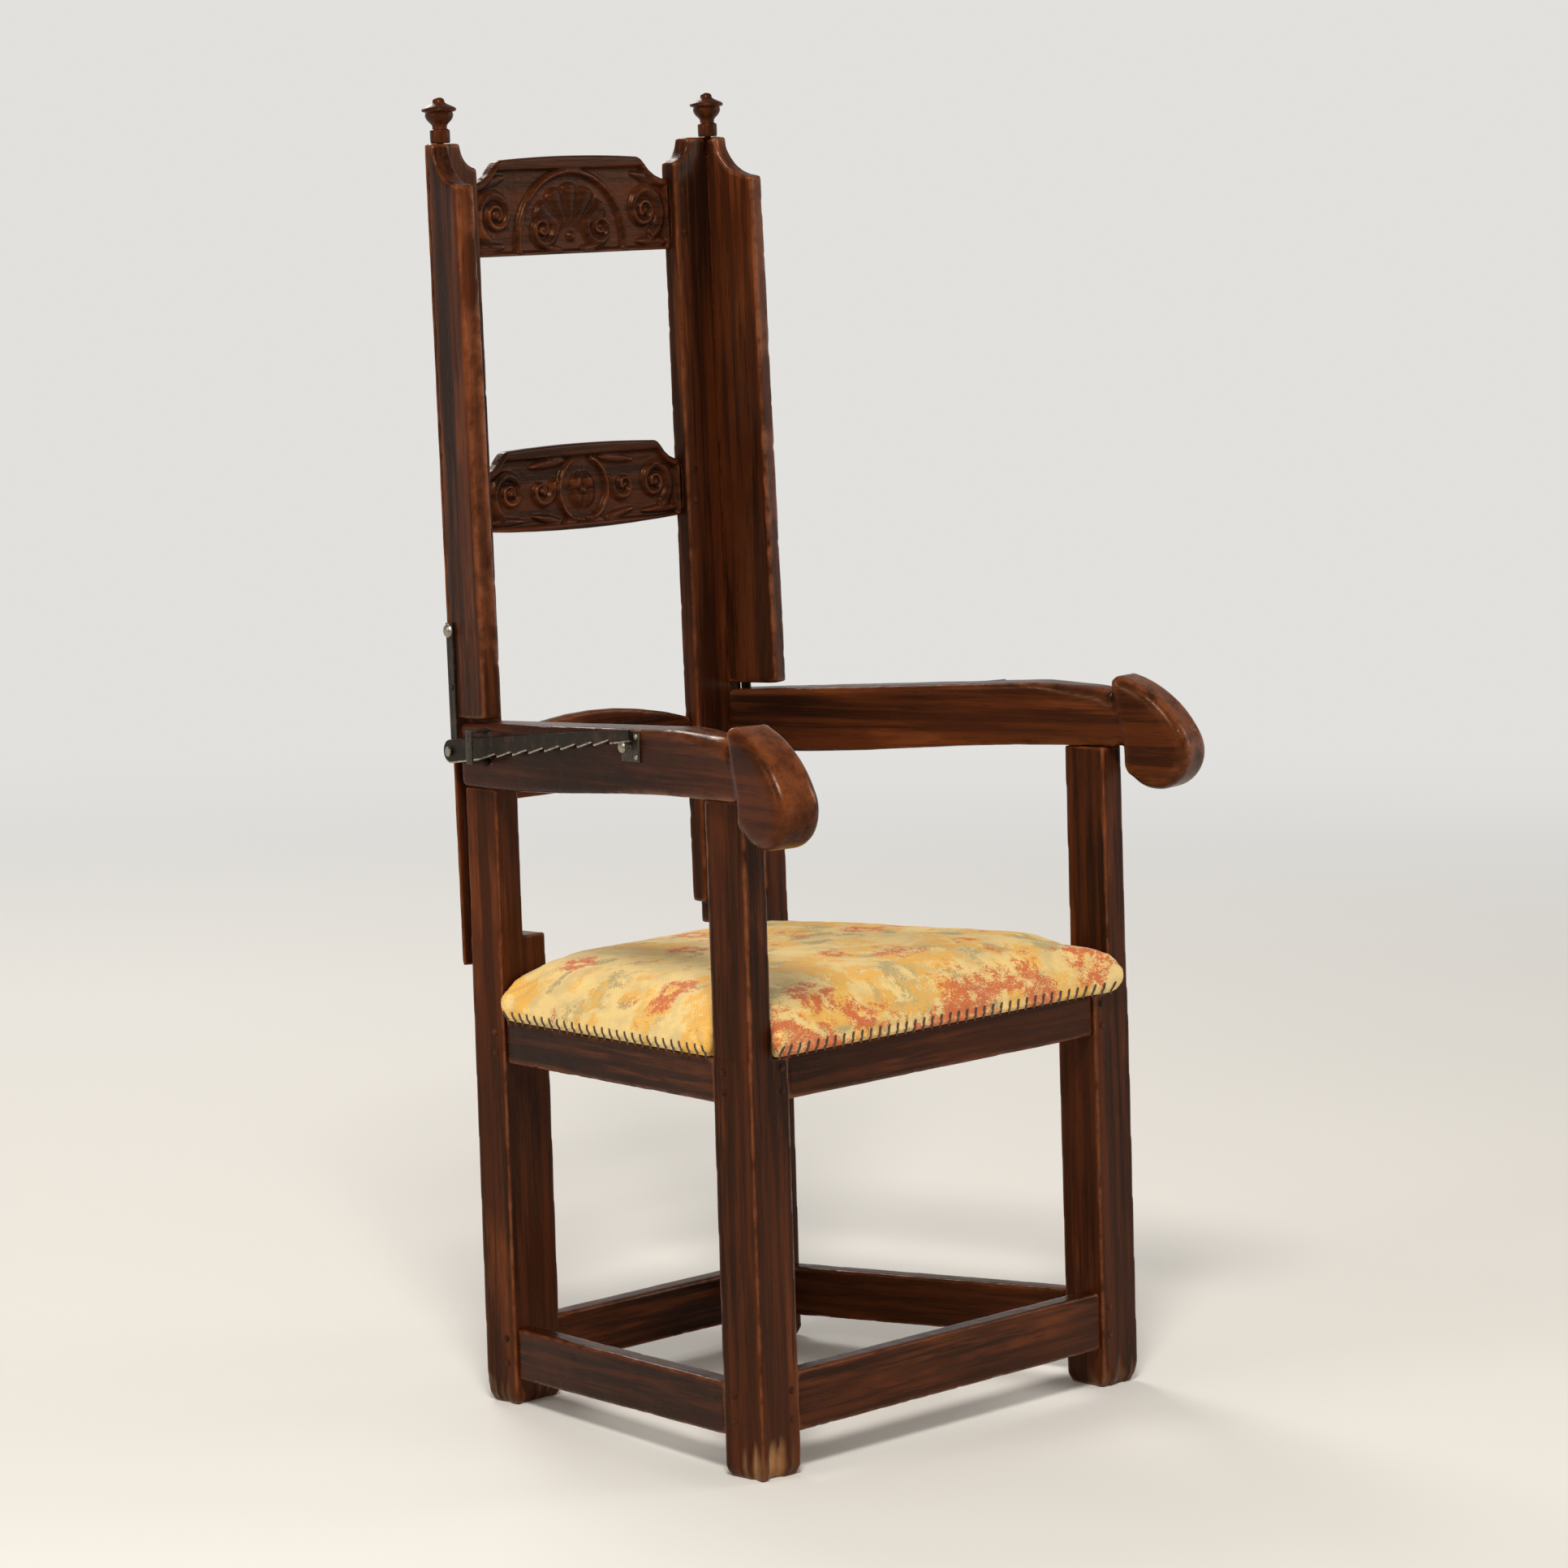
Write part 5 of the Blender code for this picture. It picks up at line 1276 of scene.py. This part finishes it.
    def hem(self, pad):
        """Stitch the hem with slanted stitches of dark thread all round the pad."""
        curve = bpy.data.curves.new("hem_stitches", "CURVE")
        curve.dimensions = "3D"
        curve.bevel_depth = sizes().thread
        curve.bevel_resolution = 1
        curve.use_fill_caps = True
        pitch, tall = sizes().stitch_pitch, sizes().stitch_height
        for start, end, outwards in self.runs():
            along = (end - start).normalized()
            inwards = way(CHAIR, *-outwards)
            for number in range(int((end - start).length / pitch)):
                seat = start + along * (number + 0.5) * pitch
                line = []
                for share in (0.40, 0.60, 0.80, 1.0):
                    rise = Vector((0, 0, self.RAIL_TOP + share * tall))
                    point = CHAIR @ (seat + along * (share - 0.5) * self.SLANT + rise)
                    hit, spot, normal, _ = pad.ray_cast(point, inwards, distance=0.08)
                    if hit:
                        line.append(spot + normal * sizes().thread * 0.35)
                if len(line) == 4:
                    line.insert(0, line[0] - UP * 0.40 * tall - way(CHAIR, *along) * 0.0016)
                    spline = curve.splines.new("POLY")
                    spline.points.add(len(line) - 1)
                    for point, place in zip(spline.points, line):
                        point.co = (*place, 1)
                        point.radius = 0.75 + 0.25 * sin(pi * line.index(place) / 4)
        only(add("hem_stitches", curve))
        bpy.ops.object.convert(target="MESH")
        settle(bpy.context.active_object, "frame", "needlework", material="hem_thread")


# Stage
class CHAIR_OT_stage(Build):
    """Pale floor, soft light and the camera"""

    bl_idname = "chair.stage"
    bl_label = "Stage"

    def make(self):
        """Set up the floor, the light and the camera."""
        scene = bpy.context.scene
        scene.view_settings.view_transform = "Standard"
        bpy.ops.object.select_all(action="DESELECT")
        bpy.ops.mesh.primitive_circle_add(vertices=96, radius=90, fill_type="NGON", location=(0, 0, -0.0005))
        floor = bpy.context.active_object
        floor.name = "floor"
        floor.data.materials.append(self.floor_finish())
        scene.world = bpy.data.worlds.new("studio")
        sky = Finish(scene.world)
        ways = sky.node("ShaderNodeTexCoord", {}, {}, "Generated")
        height = sky.node("ShaderNodeSeparateXYZ", {}, {0: ways}, 2)
        low, high = [0.95 * c for c in colours().floor], (0.28, 0.268, 0.25)
        sky.set("Color", sky.mix(height.step(0.03, 0.28), low, high))
        for name, place, aim, size, power, tint in (
                ("key", (-2.7, -2.3, 4.5), (0, 0, 0.7), 1.3, 200, (1.0, 0.94, 0.86)),
                ("fill", (3.4, -2.6, 2.4), (0, 0, 0.6), 2.2, 34, (1.0, 0.95, 0.88)),
                ("side", (-4.4, 0.8, 2.6), (0, 0, 0.7), 1.8, 50, (1.0, 0.95, 0.88)),
                ("rear", (1.6, 3.6, 3.2), (0, 0, 0.8), 2.0, 80, (1.0, 0.96, 0.90))):
            light = bpy.data.lights.new(name, "AREA")
            light.shape = "DISK"
            light.size = size
            light.energy = power
            light.color = tint
            lamp = add(name, light)
            lamp.location = place
            lamp.rotation_euler = (Vector(aim) - Vector(place)).to_track_quat("-Z", "Y").to_euler()
        camera = bpy.data.cameras.new("camera")
        camera.sensor_width = 36.0
        camera.lens = 132.248
        viewer = add("camera", camera)
        viewer.location = (-4.22968, -3.866116, 1.37175)
        viewer.rotation_euler = Euler((radians(82.5847), radians(0.3717), radians(-47.6374)), "XYZ")
        scene.camera = viewer

    def floor_finish(self):
        """Pale floor that keeps the chair's shadow and runs out into an even tone."""
        made, tint = Finish(bpy.data.materials.new("studio_floor")), (*colours().floor, 1)
        made.set("Base Color", tint)
        made.set("Roughness", 0.8)
        made.set("Specular IOR Level", 0.2)
        place = made.node("ShaderNodeTexCoord", {}, {}, "Object")
        far = made.node("ShaderNodeVectorMath", {"operation": "LENGTH"}, {0: place}, 1).step(1.2, 5.5)
        even = made.node("ShaderNodeEmission", {}, {"Color": tint, "Strength": 0.95})
        shader = Socket(made, made.shader.outputs[0])
        mixed = made.node("ShaderNodeMixShader", {}, {0: far, 1: shader, 2: even})
        made.join(made.tree.nodes["Material Output"].inputs["Surface"], mixed)
        return made.material


STEPS = (CHAIR_OT_stage, CHAIR_OT_legs, CHAIR_OT_rails, CHAIR_OT_arms, CHAIR_OT_uprights, CHAIR_OT_back_rails,
         CHAIR_OT_finials, CHAIR_OT_pegs, CHAIR_OT_ironwork, CHAIR_OT_webbing, CHAIR_OT_seat)


class CHAIR_PT_panel(bpy.types.Panel):
    """Lists the steps of the chair's making"""

    bl_idname = "CHAIR_PT_panel"
    bl_label = "Sleeping chair"
    bl_space_type = "VIEW_3D"
    bl_region_type = "UI"
    bl_category = "Chair"

    def draw(self, context):
        """Draw a button for each step."""
        for step in STEPS:
            self.layout.operator(step.bl_idname)


CLASSES = (ChairSizes, ChairColours, *STEPS, CHAIR_PT_panel)


def register():
    """Register the classes and the chair's properties."""
    for each in CLASSES:
        bpy.utils.register_class(each)
    bpy.types.Scene.chair_sizes = PointerProperty(type=ChairSizes)
    bpy.types.Scene.chair_colours = PointerProperty(type=ChairColours)


def unregister():
    """Take the classes and the properties away again."""
    del bpy.types.Scene.chair_colours
    del bpy.types.Scene.chair_sizes
    for each in reversed(CLASSES):
        bpy.utils.unregister_class(each)


def main():
    """Make the chair step by step."""
    register()
    for step in STEPS:
        group, name = step.bl_idname.split(".")
        getattr(getattr(bpy.ops, group), name)()


if __name__ == "__main__":
    main()
